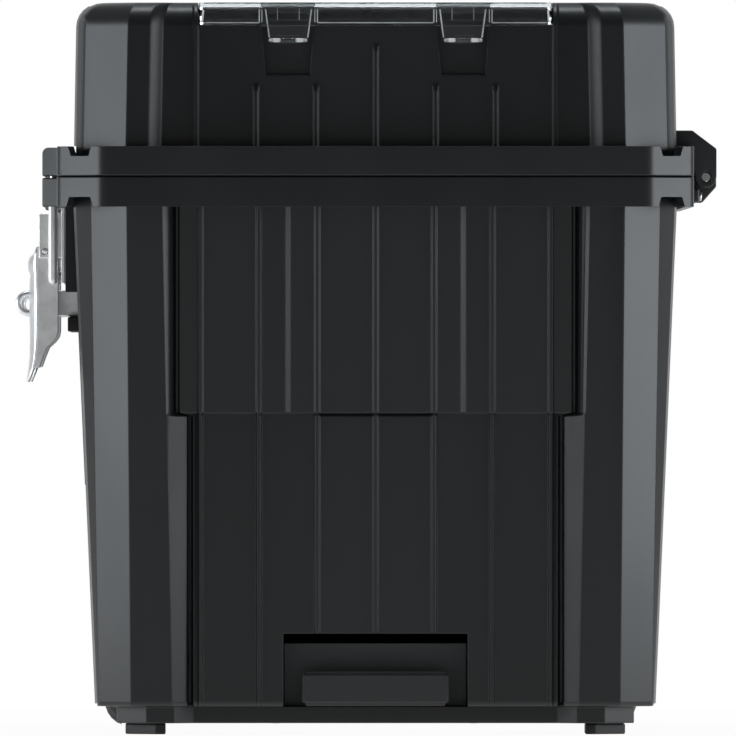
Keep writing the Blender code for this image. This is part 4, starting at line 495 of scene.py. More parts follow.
def soften(node, width, wide=None, change=None, flat=False, sharp=SHARP_ANGLE):
    """A copy of a node with rounded edges, which stands for the node."""
    mesh = joined_mesh(node)
    if change:
        change(mesh)
    broad_width, is_broad = wide or (width, None)
    weights = mesh.edges.layers.float.new("bevel_weight_edge")
    for edge in mesh.edges:
        if edge.calc_face_angle(0.0) > sharp:
            wanted = broad_width if is_broad and is_broad(edge) else width
            edge[weights] = min(wanted, ROOM_SHARE * edge_room(edge)) / broad_width
            edge.smooth = edge[weights] * broad_width > SMOOTH_SHARE * width
    for face in mesh.faces:
        face.smooth = not flat
    piece = place_piece(node + "_soft", mesh, node)
    bevel = piece.modifiers.new("soft edges", "BEVEL")
    bevel.width = broad_width
    bevel.segments = 1 if flat else 2
    bevel.limit_method = "WEIGHT"
    bevel.use_clamp_overlap = False
    if not flat:
        # The large faces set the shading, so that only the rounds between them blend
        weighted = piece.modifiers.new("flat faces", "WEIGHTED_NORMAL")
        weighted.weight = 100
        weighted.keep_sharp = True
    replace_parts(piece, node)
    return piece

# %% [markdown]
# Each material has its own width of edge: sheet steel is crisper than a moulded wall. The nodes
# that get a shape of their own further on are left out here.

# %% Soften the mouldings and the sheet metal
EDGES_IN_MM = {"shell": 0.9, "hinge_plastic": 0.7, "inner_plastic": 0.5, "grip": 0.9, "foot_rubber": 0.8,
               "clear_plastic": 0.5, "zinc_steel": 0.35, "wheel_plastic": 0.6, "pin_steel": 0.3,
               "tube_steel": 0.4, "seal_rubber": 0.4}
EDGE_WIDTHS = {slot: width * MM for slot, width in EDGES_IN_MM.items()}
ROUND_SLOTS = ("hinge_plastic", "wheel_plastic", "pin_steel", "tube_steel", "seal_rubber")
ROUND_ANGLE = math.radians(33)
OWN_SHAPE = ("base_rivet", "bracket_screw", "ear_screw", "tunnel_screw", "latch_bail", "latch_lever",
             "padlock_eye", "organizer_cover", "body_shell", "lid_shell")
softened = []
for node, slot in sorted(slot_of.items()):
    if slot in EDGE_WIDTHS and not node.startswith(OWN_SHAPE):
        sharp = ROUND_ANGLE if slot in ROUND_SLOTS else SHARP_ANGLE
        softened.append(soften(node, EDGE_WIDTHS[slot], sharp=sharp))
print("softened nodes:", len(softened))

# %% [markdown]
# The two shells need more care. The guard cheeks beside the latches slant outwards, the grooves
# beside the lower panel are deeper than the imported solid's, and the panel's top is folded under the
# one above it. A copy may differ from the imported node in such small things.

# %% Soften the shells
CLOSE = 0.1 * MM
CASE_X = (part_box("handle_guide")[0].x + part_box("handle_guide")[1].x) / 2
CHEEK_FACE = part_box("body_shell")[0].x
CHEEK_BASE = CHEEK_FACE + 8.7 * MM
CHEEK_OUTER, CHEEK_INNER = 225.0 * MM, 155.0 * MM
CHEEK_LEAN, CHEEK_RISE = 0.72, 8.0 * MM
CHEEK_EDGE_WIDTH = 2.0 * MM
WALL_FOOT, WALL_FOOT_LEVEL = 285.2 * MM, 16.0 * MM
WALL_SLOPE = 12.3 / 285.2
GROOVE_LOW, GROOVE_HIGH = 104.0 * MM, 107.2 * MM
GROOVE_FLOOR_LOW, GROOVE_FLOOR_HIGH = 10.9 * MM, 12.0 * MM
GROOVE_DEEPER = 3.0 * MM
PANEL_TOP = 183.0 * MM
STEP_LEVEL = 182.1 * MM
STEP_INSET_LOW, STEP_INSET_HIGH = 7.9 * MM, 9.1 * MM
STEP_LINE_LOW, STEP_LINE_HIGH = 181.2 * MM, 183.6 * MM
STEP_LINE_DEPTH = 2.7 * MM
STEP_REACH = 278.0 * MM
LID_SHARP_ANGLE = math.radians(24)


def is_cheek_edge(edge):
    """An upright outer edge of a guard cheek."""
    first, last = (corner.co for corner in edge.verts)
    upright = abs(first.z - last.z) > CHEEK_RISE and abs(first.x - last.x) < CLOSE
    return upright and abs(first.x - CHEEK_FACE) < 2 * CLOSE


def lean_cheeks(mesh):
    """Slant the outward side of each guard cheek, so that it catches the light."""
    for corner in mesh.verts:
        stand = CHEEK_BASE - corner.co.x
        place = abs(corner.co.y)
        for outer, turn in ((CHEEK_OUTER, -1), (CHEEK_INNER, 1)):
            if stand > 0 and abs(place - outer) < CLOSE / 2:
                corner.co.y += turn * math.copysign(CHEEK_LEAN * stand, corner.co.y)


def wall_end(height):
    """How far the sloping end wall stands from the middle at a height."""
    return WALL_FOOT + WALL_SLOPE * (height - WALL_FOOT_LEVEL)


def deepen_grooves(mesh):
    """Push the floors of the grooves beside the lower end panels inwards."""
    for corner in mesh.verts:
        side = abs(corner.co.x - CASE_X)
        inset = wall_end(corner.co.z) - abs(corner.co.y)
        at_groove = GROOVE_LOW < side < GROOVE_HIGH and corner.co.z < PANEL_TOP
        if at_groove and GROOVE_FLOOR_LOW < inset < GROOVE_FLOOR_HIGH:
            corner.co.y -= math.copysign(GROOVE_DEEPER, corner.co.y)


def cut_step_line(mesh):
    """Fold the top of each lower end panel under the panel above it, which leaves a dark line."""
    panels = [face for face in mesh.faces
              if all(abs(corner.co.x - CASE_X) < GROOVE_LOW and abs(corner.co.y) > STEP_REACH
                     for corner in face.verts)]
    geometry = {part for face in panels for part in (face, *face.edges, *face.verts)}
    bmesh.ops.bisect_plane(mesh, geom=list(geometry), dist=0.001 * MM, plane_co=(0, 0, STEP_LINE_LOW),
                           plane_no=(0, 0, 1))
    for corner in mesh.verts:
        inset = wall_end(corner.co.z) - abs(corner.co.y)
        at_step = abs(corner.co.z - STEP_LEVEL) < 3 * CLOSE and abs(corner.co.x - CASE_X) < GROOVE_LOW
        if at_step and STEP_INSET_LOW < inset < STEP_INSET_HIGH:
            corner.co.y -= math.copysign(STEP_LINE_DEPTH, corner.co.y)
            corner.co.z = STEP_LINE_HIGH


def shape_body(mesh):
    lean_cheeks(mesh)
    deepen_grooves(mesh)
    cut_step_line(mesh)


wide = (CHEEK_EDGE_WIDTH, is_cheek_edge)
soften("body_shell", EDGE_WIDTHS["shell"], wide, shape_body)
soften("lid_shell", EDGE_WIDTHS["shell"], wide, lean_cheeks, sharp=LID_SHARP_ANGLE)
print("shells softened")

# %% [markdown]
# ## Small pieces
# Plates, turned shapes and rods are enough for most fittings. Each helper adds its faces to a mesh
# that is being built, so that one object can hold several of them.

# %% Helpers for small pieces
END_STEPS = 6


def turns(count):
    """Angles in equal steps round a circle."""
    return [math.tau * step / count for step in range(count)]


def loft(mesh, layers, closed=False):
    """Faces between rings of points, which run in a loop or have a face at each end."""
    rings = [[mesh.verts.new(point) for point in layer] for layer in layers]
    if not closed:
        mesh.faces.new(list(reversed(rings[0])))
        mesh.faces.new(rings[-1])
    after = rings[1:] + rings[:1] if closed else rings[1:]
    for ring, other in zip(rings, after):
        for index in range(len(ring)):
            following = (index + 1) % len(ring)
            mesh.faces.new((ring[index], ring[following], other[following], other[index]))


def add_plate(mesh, outline, low, high):
    """A plate: an outline of (x, z) points between two places along y."""
    loft(mesh, [[(x, y, z) for x, z in outline] for y in (low, high)])


def add_turned(mesh, profile, centre, axis, sides=32):
    """A profile of (along, radius) points turned about an axis through a centre."""
    turn = Vector((0, 0, 1)).rotation_difference(Vector(axis)).to_matrix()
    layers = []
    for along, radius in profile:
        points = [(radius * math.cos(angle), radius * math.sin(angle), along) for angle in turns(sides)]
        layers.append([turn @ Vector(point) + Vector(centre) for point in points])
    loft(mesh, layers)


def round_ended(radius, low, high):
    """A profile of (along, radius) points for a rod with round ends."""
    points = []
    for step in range(END_STEPS + 1):
        angle = math.radians(90 * step / END_STEPS)
        points.append((low - radius * math.cos(angle), max(0.01 * MM, radius * math.sin(angle))))
    return points + [(low + high - along, across) for along, across in reversed(points)]


def round_piece(name, mesh, node, limit=35, **other):
    """A piece with smooth faces, whose edges above an angle stay sharp."""
    bmesh.ops.recalc_face_normals(mesh, faces=mesh.faces)
    for face in mesh.faces:
        face.smooth = True
    for edge in mesh.edges:
        edge.smooth = edge.calc_face_angle(0.0) < math.radians(limit)
    return place_piece(name, mesh, node, **other)


def bevel_piece(piece, width, segments=2):
    """Small rounds on a piece's sharp edges."""
    bevel = piece.modifiers.new("soft edges", "BEVEL")
    bevel.width = width
    bevel.segments = segments
    bevel.limit_method = "ANGLE"
    bevel.harden_normals = True

# %% [markdown]
# ## Organiser covers
# The organiser covers are glossy, so their faces stay flat and their edges are plain chamfers: the
# long one at the top is broad and throws a white line. The skirt leans back a little, which lets
# it leave the mould.

# %% Shape the organiser covers
COVER_LEAN = 1.4 * MM
COVER_EDGE_WIDTH = 2.7 * MM
TONGUE_EDGE_WIDTH = 0.8 * MM


def shape_cover(node):
    low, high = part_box(node)
    front = max(abs(low.y), abs(high.y))

    def lean(mesh):
        for corner in mesh.verts:
            if abs(corner.co.y) > front - CLOSE:
                share = (corner.co.z - low.z) / (high.z - low.z)
                corner.co.y -= math.copysign(COVER_LEAN * share, corner.co.y)

    def is_front_edge(edge):
        first, last = (corner.co for corner in edge.verts)
        at_top = min(first.z, last.z) > high.z - CLOSE
        return at_top and min(abs(first.y), abs(last.y)) > front - COVER_LEAN - CLOSE

    return soften(node, TONGUE_EDGE_WIDTH, (COVER_EDGE_WIDTH, is_front_edge), lean, flat=True)


ENDS = ("near", "far")
for end in ENDS:
    shape_cover("organizer_cover_" + end)
print("covers shaped")

# %% [markdown]
# Each cover has a fine lip along its top edge, and each of its two tongues has a clip that stands
# up through that edge and a round bar at the bottom to pull at. Thin rods in pale and near-white
# finishes along the cover's edges and on its bars are painted highlights: bright lines and glints.

# %% Lips, clips and bars of the covers
LIP_DEPTHS = (-2.0 * MM, -3.4 * MM)
LIP_INSET = 3.0 * MM
LIP_HEIGHT, LIP_DROP = 1.3 * MM, 0.05 * MM
CLIP_DEPTHS = (0.3 * MM, -3.0 * MM)
CLIP_SPREAD = 50.0 * MM
CLIP_HALF = 15.4 * MM
CLIP_HEIGHT, CLIP_DROP = 6.0 * MM, 0.02 * MM
CLIP_EDGE = 0.4 * MM
BAR_HALF = 9.8 * MM
BAR_RADIUS = 1.2 * MM
BAR_INSET, BAR_LIFT = 0.3 * MM, 0.1 * MM
ROD_INSET = 0.1 * MM
# Rods of painted highlight: pale lines along the tongues, skirt and pockets, near-white glints at the end and
# bars
PAINTED_EDGE_HIGHLIGHTS = {
    "pale_painted_highlight": ((-62.8, 413.5, -60.7, 398.0, 0.42), (-36.7, 413.5, -38.7, 398.0, 0.42),
                  (-98.2, 406.2, -66.8, 406.2, 0.30), (-32.6, 406.2, 0.0, 406.2, 0.30),
                  (-66.4, 413.6, -66.4, 406.6, 0.32), (-33.2, 413.6, -33.2, 406.6, 0.32),
                  (-64.9, 413.6, -64.9, 406.6, 0.26), (-34.7, 413.6, -34.7, 406.6, 0.26),
                  (-64.6, 416.4, -35.2, 416.4, 0.28), (-56.0, 408.0, -56.0, 414.5, 0.16),
                  (-43.6, 408.0, -43.6, 414.5, 0.16)),
    "bright_painted_highlight": ((-98.4, 413.0, -98.9, 407.2, 0.55), (-58.0, 396.2, -55.4, 396.2, 1.2),
                    (-44.6, 396.2, -42.0, 396.2, 1.2), (-60.2, 396.2, -59.6, 396.2, 0.8),
                    (-40.4, 396.2, -39.8, 396.2, 0.8)),
}


def add_block(mesh, low, high):
    """A box between two corners."""
    made = bmesh.ops.create_cube(mesh, size=1.0)["verts"]
    for corner in made:
        share = [value + 0.5 for value in corner.co]
        corner.co = [first + (last - first) * part for first, last, part in zip(low, high, share)]


def add_highlight_rods(mesh, lines, lean_at):
    """Thin rods of painted highlight along lines of (x, z, x, z, radius) in mm, on both halves of a leaning
    front.
    """
    for mirror in (-1, 1):
        for x_start, z_start, x_end, z_end, radius in lines:
            ends = []
            for x, z in ((x_start, z_start), (x_end, z_end)):
                ends.append(Vector((CASE_X + mirror * x * MM, lean_at(z * MM), z * MM)))
            along = ends[1] - ends[0]
            add_turned(mesh, round_ended(radius * MM, 0.0, along.length), ends[0], along, 12)


def make_cover_details(end, side):
    node = "organizer_cover_" + end
    low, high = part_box(node)
    front = max(abs(low.y), abs(high.y))
    top_front = front - COVER_LEAN

    def lean_at(height):
        return side * (front - COVER_LEAN * (height - low.z) / (high.z - low.z) - ROD_INSET)

    lip = sorted(side * (top_front + out) for out in LIP_DEPTHS)
    clip = sorted(side * (top_front + out) for out in CLIP_DEPTHS)
    tongues = (CASE_X - CLIP_SPREAD, CASE_X + CLIP_SPREAD)
    mesh = bmesh.new()
    start = (low.x + LIP_INSET, lip[0], high.z - LIP_HEIGHT)
    add_block(mesh, start, (high.x - LIP_INSET, lip[1], high.z - LIP_DROP))
    for x in tongues:
        start = (x - CLIP_HALF, clip[0], high.z - CLIP_HEIGHT)
        add_block(mesh, start, (x + CLIP_HALF, clip[1], high.z - CLIP_DROP))
    bevel_piece(place_piece("cover_clips_" + end, mesh, node), CLIP_EDGE, 1)
    mesh = bmesh.new()
    for x in tongues:
        place = (x, side * (front - BAR_INSET), low.z + BAR_RADIUS + BAR_LIFT)
        add_turned(mesh, round_ended(BAR_RADIUS, -BAR_HALF, BAR_HALF), place, (1, 0, 0), 20)
    round_piece("cover_bars_" + end, mesh, node)
    for finish, lines in PAINTED_EDGE_HIGHLIGHTS.items():
        mesh = bmesh.new()
        add_highlight_rods(mesh, lines, lean_at)
        round_piece("cover_" + finish + "_" + end, mesh, node, finish=finish)


for end, side in zip(ENDS, (-1, 1)):
    make_cover_details(end, side)
print("lips, clips and bars made")

# %% [markdown]
# ## Draw latches
# A draw latch is pressed from zinc-plated sheet. The lever has two flat cheeks and a crowned skin
# between them, with a thumb bulge at the pin and a lip that flares out at the tip. Each row of the
# skin has a height, the place where it leaves the cheeks and the place of its crown.

# %% Levers
LEVER_HALF = 18.0 * MM
CHEEK_SHEET, CHEEK_ROUND = 1.4 * MM, 0.4 * MM
SKIN_SHEET = 1.2 * MM
SKIN_STEPS = 12
SKIN_POWER = 2.4
SKIN_ROWS = ((278.5, -188.7, -189.0), (274.6, -189.2, -190.4), (272.5, -189.1, -192.8),
             (270.0, -189.0, -193.6), (265.4, -188.8, -193.6), (262.3, -188.7, -192.3),
             (257.7, -188.6, -192.8), (246.0, -188.3, -192.9), (234.6, -188.4, -192.8),
             (226.9, -188.6, -192.6), (216.1, -189.4, -192.8), (209.2, -190.8, -193.5),
             (201.5, -194.0, -194.6))
CHEEK_OUTLINE = ((-188.4, 278.5), (-188.8, 274.6), (-188.3, 262.3), (-187.9, 246.0), (-188.2, 226.9),
                 (-189.0, 216.1), (-190.5, 208.8), (-186.9, 209.9), (-185.0, 215.4), (-182.7, 221.0),
                 (-179.0, 224.4), (-176.8, 227.4), (-176.2, 230.7), (-176.2, 261.5), (-177.4, 265.0),
                 (-180.4, 270.0), (-180.9, 276.5), (-182.5, 279.3), (-186.0, 279.6))


def make_lever(end):
    node = "latch_lever_" + end
    middle = (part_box(node)[0].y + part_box(node)[1].y) / 2
    mesh = bmesh.new()
    outline = [(x * MM, z * MM) for x, z in CHEEK_OUTLINE]
    for side in (-1, 1):
        limits = sorted((side * LEVER_HALF, side * (LEVER_HALF - CHEEK_SHEET)))
        add_plate(mesh, outline, middle + limits[0], middle + limits[1])
    cheeks = round_piece(node + "_cheeks", mesh, node)
    bevel_piece(cheeks, CHEEK_ROUND)
    mesh = bmesh.new()
    rows = []
    for z, fold, crown in SKIN_ROWS:
        row = []
        for step in range(SKIN_STEPS + 1):
            across = 2 * step / SKIN_STEPS - 1
            x = crown + (fold - crown) * abs(across) ** SKIN_POWER
            row.append(mesh.verts.new((x * MM, middle + across * LEVER_HALF, z * MM)))
        rows.append(row)
    for high, low in zip(rows, rows[1:]):
        for step in range(SKIN_STEPS):
            mesh.faces.new((high[step], high[step + 1], low[step + 1], low[step]))
    skin = round_piece(node + "_skin", mesh, node, 60)
    sheet = skin.modifiers.new("sheet", "SOLIDIFY")
    sheet.thickness = SKIN_SHEET
    sheet.offset = -1.0
    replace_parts(cheeks, node)


for end in ENDS:
    make_lever(end)
print("levers made")

# %% [markdown]
# The bail is the loop that catches the lid's hook. Its legs are thick wire, pressed a little oval,
# so each shows two bright lines. They are thinner near the hook, so that the loop can tilt there.
# A round rung joins them at the top and two short pivots hold them in the lever.

# %% Bails
LEG_HALF = 2.7 * MM
LEG_FLATNESS = 0.72
LEG_SPREAD = 22.5 * MM
LEG_NECK = 21.0 * MM
PIVOT_START = 15.0 * MM
ROD_RADIUS = 1.8 * MM


def make_bail(end):
    node = "latch_bail_" + end
    low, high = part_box(node)
    x, middle, _ = (low + high) / 2
    pivot, rung = low.z + ROD_RADIUS, high.z - ROD_RADIUS
    mesh = bmesh.new()
    for side in (-1, 1):
        place = middle + side * LEG_SPREAD
        before = len(mesh.verts)
        add_turned(mesh, round_ended(LEG_HALF, pivot, rung - LEG_NECK), (x, place, 0), (0, 0, 1))
        add_turned(mesh, round_ended(ROD_RADIUS, rung - LEG_NECK - LEG_HALF, rung), (x, place, 0), (0, 0, 1))
        mesh.verts.ensure_lookup_table()
        for corner in mesh.verts[before:]:
            corner.co.y = place + (corner.co.y - place) * LEG_FLATNESS
    legs = round_piece(node + "_legs", mesh, node)
    mesh = bmesh.new()
    add_turned(mesh, [(-LEG_SPREAD, ROD_RADIUS), (LEG_SPREAD, ROD_RADIUS)], (x, middle, rung), (0, 1, 0))
    for side in (-1, 1):
        profile = [(PIVOT_START, ROD_RADIUS), (LEG_SPREAD, ROD_RADIUS)]
        add_turned(mesh, profile, (x, middle, pivot), (0, side, 0))
    round_piece(node + "_rods", mesh, node)
    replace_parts(legs, node)


for end in ENDS:
    make_bail(end)
print("bails made")

# %% [markdown]
# The padlock eye is a ring of thick wire welded to a flat tab. The lever's slot drops over it.

# %% Padlock eyes
RING_RADIUS = 5.45 * MM
RING_WIRE = 1.95 * MM
RING_STEPS, WIRE_STEPS = 40, 16
TAB_START, TAB_EDGE = 5.0 * MM, 0.9 * MM


def make_eye(end):
    node = "padlock_eye_" + end
    low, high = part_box(node)
    _, middle, level = (low + high) / 2
    centre = low.x + RING_RADIUS + RING_WIRE
    mesh = bmesh.new()
    layers = []
    for around in turns(RING_STEPS):
        layer = []
        for angle in turns(WIRE_STEPS):
            reach = RING_RADIUS + RING_WIRE * math.cos(angle)
            layer.append((centre + reach * math.cos(around), middle + RING_WIRE * math.sin(angle),
                          level + reach * math.sin(around)))
        layers.append(layer)
    loft(mesh, layers, closed=True)
    ring = round_piece(node + "_ring", mesh, node, 60)
    mesh = bmesh.new()
    tab = [(centre + TAB_START, low.z), (high.x, low.z), (high.x, high.z), (centre + TAB_START, high.z)]
    add_plate(mesh, tab, low.y, high.y)
    bevel_piece(round_piece(node + "_tab", mesh, node), TAB_EDGE, 3)
    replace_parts(ring, node)


for end in ENDS:
    make_eye(end)
print("padlock eyes made")

# %% [markdown]
# A lever pin is peened over at its ends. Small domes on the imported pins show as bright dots.

# %% Pin domes
DOME = ((19.5, 1.6), (20.6, 1.6), (21.1, 1.25), (21.3, 0.6), (21.32, 0.05))
for end in ENDS:
    low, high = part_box("lever_pin_" + end)
    mesh = bmesh.new()
    for side in (-1, 1):
        profile = [(along * MM, radius * MM) for along, radius in DOME]
        add_turned(mesh, profile, (low + high) / 2, (0, side, 0))
    round_piece("pin_domes_" + end, mesh, "lever_pin_" + end, slot="zinc_steel")
print("pin domes made")

# %% [markdown]
# ## Screws and rivets
# The hinges and the tunnel cover are held by cross-head screws. Rings of twelve points are enough
# for a head: the last ring is the cross itself, and it is sunk to make the recess. Rivets are low
# domes.

# %% Screw heads
CROSS = ((0.60, 0.16), (0.16, 0.16), (0.16, 0.60))
HEAD_RISE = 1.3 * MM
RECESS_DEPTH = 1.1 * MM
RIVET_DOME = ((-1.5, 1.0), (-0.9, 1.0), (-0.35, 0.75), (0.0, 0.1))


def add_screw_head(mesh, top, axis, radius):
    """A domed head with a cross recess, whose highest point is given."""
    turn = Vector((0, 0, 1)).rotation_difference(Vector(axis)).to_matrix()
    cross = []
    for angle in turns(4):
        cos, sin = math.cos(angle), math.sin(angle)
        cross += [(x * cos - y * sin, x * sin + y * cos) for x, y in CROSS]
    circle = [Vector(point).normalized() for point in cross]
    shapes = [(circle, 1.0, -HEAD_RISE), (circle, 1.0, -0.55 * HEAD_RISE), (circle, 0.85, -0.1 * HEAD_RISE),
              (cross, 1.0, 0.0), (cross, 0.8, -RECESS_DEPTH)]
    layers = []
    for points, scale, along in shapes:
        places = [Vector((x * scale * radius, y * scale * radius, along)) for x, y in points]
        layers.append([turn @ place + Vector(top) for place in places])
    loft(mesh, layers)


def make_fastener(node, axis):
    """A screw or rivet seen from its head only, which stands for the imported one."""
    low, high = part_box(node)
    top = (low + high) / 2
    pick = max(range(3), key=lambda index: abs(axis[index]))
    across = (pick + 1) % 3
    top[pick] = high[pick] if axis[pick] > 0 else low[pick]
    radius = (high[across] - low[across]) / 2
    mesh = bmesh.new()
    if node.startswith("base_rivet"):
        add_turned(mesh, [(along * MM, share * radius) for along, share in RIVET_DOME], top, axis, 20)
    else:
        add_screw_head(mesh, top, axis, radius)
    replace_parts(round_piece(node + "_head", mesh, node, 50), node)


HEAD_AXES = {"bracket_screw": (1, 0, 0), "ear_screw": (1, 0, 0), "tunnel_screw": (0, 0, -1),
             "base_rivet": (-1, 0, 0)}
fasteners = [node for node in sorted(slot_of) if node.rsplit("_", 1)[0] in HEAD_AXES]
for node in fasteners:
    make_fastener(node, HEAD_AXES[node.rsplit("_", 1)[0]])
print("screws and rivets:", len(fasteners))

# %% [markdown]
# ## Wheels
# The tyres are rubber with a ribbed tread: a plain band in the middle and a row of blocks on each
# shoulder. One cross-section is turned in many small steps, and its shoulder points drop a little
# at every fourth step. Spokes stiffen the plastic rims.

# %% Tyres and spokes
TYRE_STEPS, TREAD_PITCH = 128, 4
TREAD_DEPTH = 1.6 * MM
TYRE_SECTION = ((-1.00, 60.4, 0), (-0.97, 64.2, 0), (-0.89, 67.8, 0), (-0.77, 70.8, 1), (-0.61, 73.2, 1),
                (-0.44, 74.5, 1), (-0.40, 73.0, 0), (-0.30, 73.0, 0), (-0.26, 75.0, 0))
SPOKES = 6
SPOKE_OUTLINE = ((12.5, -0.5), (12.5, 9.0), (20.0, 8.6), (54.6, 5.0), (54.6, -0.5))
SPOKE_HALF, SPOKE_EDGE = 3.4 * MM, 0.8 * MM
WEB_HALF = 3.5 * MM


def make_tyre(node):
    low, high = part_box(node)
    centre, half = (low + high) / 2, (high.x - low.x) / 2
    mirrored = [(-across, radius, block) for across, radius, block in reversed(TYRE_SECTION)]
    section = list(TYRE_SECTION) + mirrored
    mesh = bmesh.new()
    layers = []
    for step, angle in enumerate(turns(TYRE_STEPS)):
        drop = TREAD_DEPTH if step % TREAD_PITCH == TREAD_PITCH - 1 else 0.0
        layer = []
        for across, radius, block in section:
            reach = radius * MM - drop * block
            offset = (across * half, reach * math.cos(angle), reach * math.sin(angle))
            layer.append(centre + Vector(offset))
        layers.append(layer)
    loft(mesh, layers, closed=True)
    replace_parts(round_piece(node + "_tread", mesh, node, 28), node)


def make_spokes(side, out):
    node = "wheel_rim_" + side
    low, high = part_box("tyre_" + side)
    centre = (low + high) / 2
    mesh = bmesh.new()
    for number in range(SPOKES):
        outline = [(out * (WEB_HALF + depth * MM), radius * MM) for radius, depth in SPOKE_OUTLINE]
        before = len(mesh.verts)
        add_plate(mesh, outline, -SPOKE_HALF, SPOKE_HALF)
        mesh.verts.ensure_lookup_table()
        turn = Matrix.Rotation(math.tau * number / SPOKES, 3, "X")
        for corner in mesh.verts[before:]:
            corner.co = turn @ corner.co + centre
    bevel_piece(round_piece(node + "_spokes", mesh, node), SPOKE_EDGE)


for side, out in (("left", -1), ("right", 1)):
    make_tyre("tyre_" + side)
    make_spokes(side, out)
print("tyres and spokes made")

# %% [markdown]
# ## Flanks
# Behind each corner the long walls swell by about a millimetre. From the end this shows as a thin
# pale line beside the dark strip of the corner, because the wall is seen almost edge-on and
# mirrors the white backdrop. A slim wedge, lofted up the sloping wall, makes the swell.

# %% Wedges on the long walls
SWELL = ((-0.6, -1.6), (1.25, 10.0), (1.25, 27.0), (-0.6, 33.0))
BODY_CORNERS = ((17.5, 159.0, 263.9), (301.0, 171.3, 252.7))
FAR_START = 166.0
LID_CORNERS = ((336.2, 170.98, 261.2), (404.1, 169.75, 259.9))
LID_ROUND = 13.7
LID_ROUND_ANGLES = (15, 30, 45, 60)


def add_wedge(mesh, levels, side, end):
    """A swell through levels of (height, wall, corner), on one side and one end."""
    layers = []
    for height, wall, corner in levels:
        layer = []
        for out, along in SWELL:
            layer.append((CASE_X + side * (wall + out) * MM, end * (corner - along) * MM, height * MM))
        layers.append(layer)
    loft(mesh, layers)


def make_flanks():
    body_mesh, lid_mesh = bmesh.new(), bmesh.new()
    low, high = (Vector(level) for level in BODY_CORNERS)
    far_low = low.lerp(high, (FAR_START - low.x) / (high.x - low.x))
    lid_levels = list(LID_CORNERS)
    height, wall, corner = LID_CORNERS[-1]
    for angle in LID_ROUND_ANGLES:
        turn = math.radians(angle)
        inset = LID_ROUND * (1 - math.cos(turn))
        lid_levels.append((height + LID_ROUND * math.sin(turn), wall - inset, corner - inset))
    for side in (-1, 1):
        for end in (-1, 1):
            add_wedge(body_mesh, (low if end < 0 else far_low, high), side, end)
            add_wedge(lid_mesh, lid_levels, side, end)
    for name, mesh in (("body", body_mesh), ("lid", lid_mesh)):
        round_piece(name + "_flanks", mesh, name + "_shell", 20)


make_flanks()
print("flanks made")

# %% [markdown]
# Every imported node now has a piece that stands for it. The nodes get their finishes all the same,
# so that a piece can be taken away and its node still looks right.

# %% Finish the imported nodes
for node in slot_of:
    item = frame["nodes"][node]
    item.data.materials.clear()
    item.data.materials.append(FINISHES[finish_of(node)])
print("finished nodes:", len(slot_of))

# %% [markdown]
# ## Light, floor and camera
# The photograph was lit from the two sides: the slanted faces glow, and the flat end is nearly
# black at the top and a little lighter towards the floor. Two large soft boxes make the first. A
# pale floor of limited depth, mirrored in the sloping wall, helps with the second.

# %% Floor
FLOOR_HALF_WIDTH, FLOOR_HALF_DEPTH = 0.95, 1.65
FLOOR_SHIFT = -0.55
FLOOR_COLOUR = (0.86, 0.86, 0.86, 1.0)
FLOOR_WHITE = 0.96


def make_floor_finish():
    finish, tree, shader = start_finish("studio_floor", FLOOR_COLOUR)
    cloud = use_group(tree, CLOUDS, Cloud_size=0.5)["Tone"]
    base = mix_colour(tree, cloud, FLOOR_COLOUR, tone(FLOOR_COLOUR[:3], 1.01))
    tree.links.new(base, shader.inputs["Base Color"])
    shader.inputs["Roughness"].default_value = 0.9
    shader.inputs["Specular IOR Level"].default_value = 0.1
    path = add_node(tree, "ShaderNodeLightPath").outputs
    mirrored = math_node(tree, "MAXIMUM", path["Is Glossy Ray"], path["Is Transmission Ray"])
    share = times(tree, path["Is Camera Ray"], FLOOR_WHITE)
    share = math_node(tree, "MAXIMUM", share, mirrored)
    white = add_node(tree, "ShaderNodeEmission", None, {"Color": (1, 1, 1, 1), "Strength": 1.0})
    both = add_node(tree, "ShaderNodeMixShader", None,
                    {0: share, 1: shader.outputs["BSDF"], 2: white.outputs["Emission"]})
    tree.links.new(both.outputs["Shader"], tree.nodes["Material Output"].inputs["Surface"])
    return finish


mesh = bmesh.new()
bmesh.ops.create_grid(mesh, x_segments=1, y_segments=1, size=1.0)
bmesh.ops.scale(mesh, vec=(FLOOR_HALF_WIDTH, FLOOR_HALF_DEPTH, 1.0), verts=mesh.verts)
bmesh.ops.translate(mesh, vec=(0.0, FLOOR_SHIFT, 0.0), verts=mesh.verts)
floor = new_object("studio_floor", mesh, make_floor_finish())
print("floor in m:", 2 * FLOOR_HALF_WIDTH, "by", 2 * FLOOR_HALF_DEPTH)

# %% [markdown]
# The world is white to the camera. Reflections see another one: nearly black in front, lighter
# low down, dim at the sides and white behind. Plain grey lights all the rest.

# %% World
FRONT_HIGH, FRONT_LOW = 0.02, 0.62
FRONT_RANGE = (0.05, -0.14)
SIDE_RANGE = (-0.25, 0.15)
BACK_RANGE = (0.80, 0.93)
SIDE_LEVEL = 0.10
AMBIENT_LEVEL = 0.25

world = bpy.data.worlds.new("studio")
bpy.context.scene.world = world
world.use_nodes = True
tree = world.node_tree
tree.nodes.clear()
direction = add_node(tree, "ShaderNodeTexCoord").outputs["Generated"]
parts = add_node(tree, "ShaderNodeSeparateXYZ", None, {"Vector": direction}).outputs
front = spread(tree, parts["Z"], *FRONT_RANGE, FRONT_HIGH, FRONT_LOW)
sides = mix_value(tree, spread(tree, parts["Y"], *SIDE_RANGE), front, SIDE_LEVEL)
mirrored = mix_value(tree, spread(tree, parts["Y"], *BACK_RANGE), sides, 1.0)
path = add_node(tree, "ShaderNodeLightPath").outputs
level = mix_value(tree, path["Is Glossy Ray"], AMBIENT_LEVEL, mirrored)
seen = math_node(tree, "MAXIMUM", path["Is Camera Ray"], path["Is Transmission Ray"])
level = math_node(tree, "MAXIMUM", level, seen)
background = add_node(tree, "ShaderNodeBackground", None, {"Color": (1, 1, 1, 1), "Strength": level})
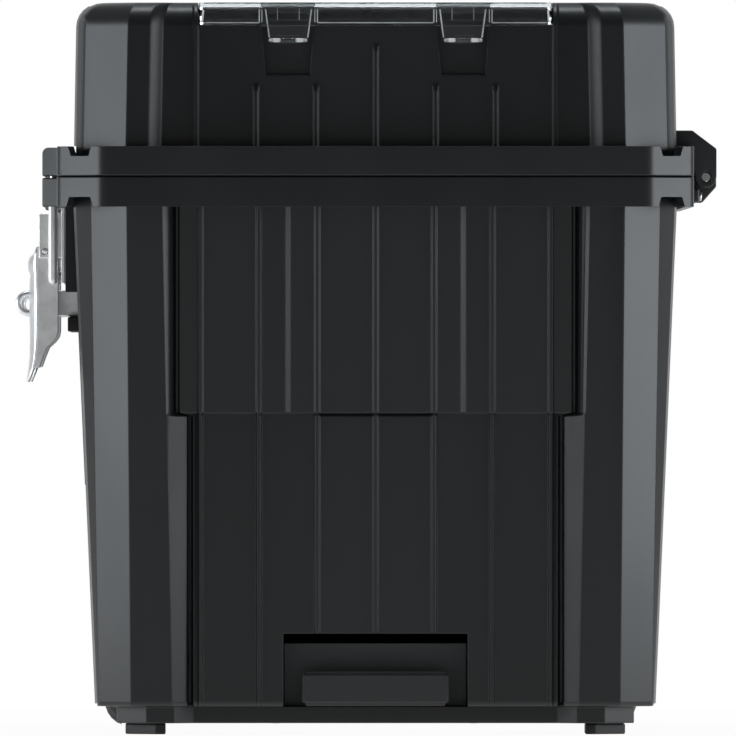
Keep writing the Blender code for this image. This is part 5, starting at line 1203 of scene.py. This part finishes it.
add_node(tree, "ShaderNodeOutputWorld", None, {"Surface": background.outputs["Background"]})
print("world: white behind, from", FRONT_HIGH, "to", FRONT_LOW, "in front for reflections")

# %% [markdown]
# Two soft boxes at the sides light the slanted faces, and two from above light the top. Each row
# has a name, a place, an aim, a width, a height and a power.

# %% Soft boxes
BOXES = (("left soft box", (-3.0, -0.3, -0.15), (0.0, -0.3, -0.15), 2.0, 2.1, 72.0),
         ("right soft box", (3.0, -0.3, -0.15), (0.0, -0.3, -0.15), 2.0, 2.1, 80.0),
         ("top soft box", (0.0, 0.8, 3.4), (0.0, 0.8, 0.0), 3.0, 3.0, 25.0),
         ("top strip", (0.0, -0.1, 3.0), (0.0, -0.1, 0.0), 2.0, 0.5, 40.0))
BOX_COLOUR = (0.90, 0.96, 1.0)
for name, place, aim, width, height, power in BOXES:
    light = bpy.data.lights.new(name, "AREA")
    light.shape = "RECTANGLE"
    light.size = width
    light.size_y = height
    light.energy = power
    light.color = BOX_COLOUR
    lamp = bpy.data.objects.new(name, light)
    lamp.location = place
    lamp.rotation_euler = (Vector(aim) - Vector(place)).to_track_quat("-Z", "Y").to_euler()
    bpy.context.scene.collection.objects.link(lamp)
print("soft boxes:", len(BOXES))

# %% [markdown]
# The photograph has almost no perspective, so the camera stands far off with a very long lens. It
# stands a little to the left, which hides most of the far latch behind the near one.

# %% Camera
CAMERA_DISTANCE = 19.0
CAMERA_ASIDE = -0.10
CAMERA_X = 0.0007
CAMERA_Z = 0.2092
VIEW_WIDTH = 0.4195
SENSOR = 36.0

camera_data = bpy.data.cameras.new("end view")
camera_data.sensor_width = SENSOR
camera_data.lens = SENSOR * CAMERA_DISTANCE / VIEW_WIDTH
camera_data.clip_end = 100.0
camera = bpy.data.objects.new("end view", camera_data)
camera.location = (CAMERA_X + CAMERA_ASIDE, cad_box[0].y - CAMERA_DISTANCE, CAMERA_Z)
camera.rotation_euler = (math.pi / 2, 0.0, math.atan(CAMERA_ASIDE / CAMERA_DISTANCE))
bpy.context.scene.collection.objects.link(camera)
bpy.context.scene.camera = camera
bpy.context.scene.view_settings.view_transform = "Standard"
print("camera lens in mm:", round(camera_data.lens, 1))
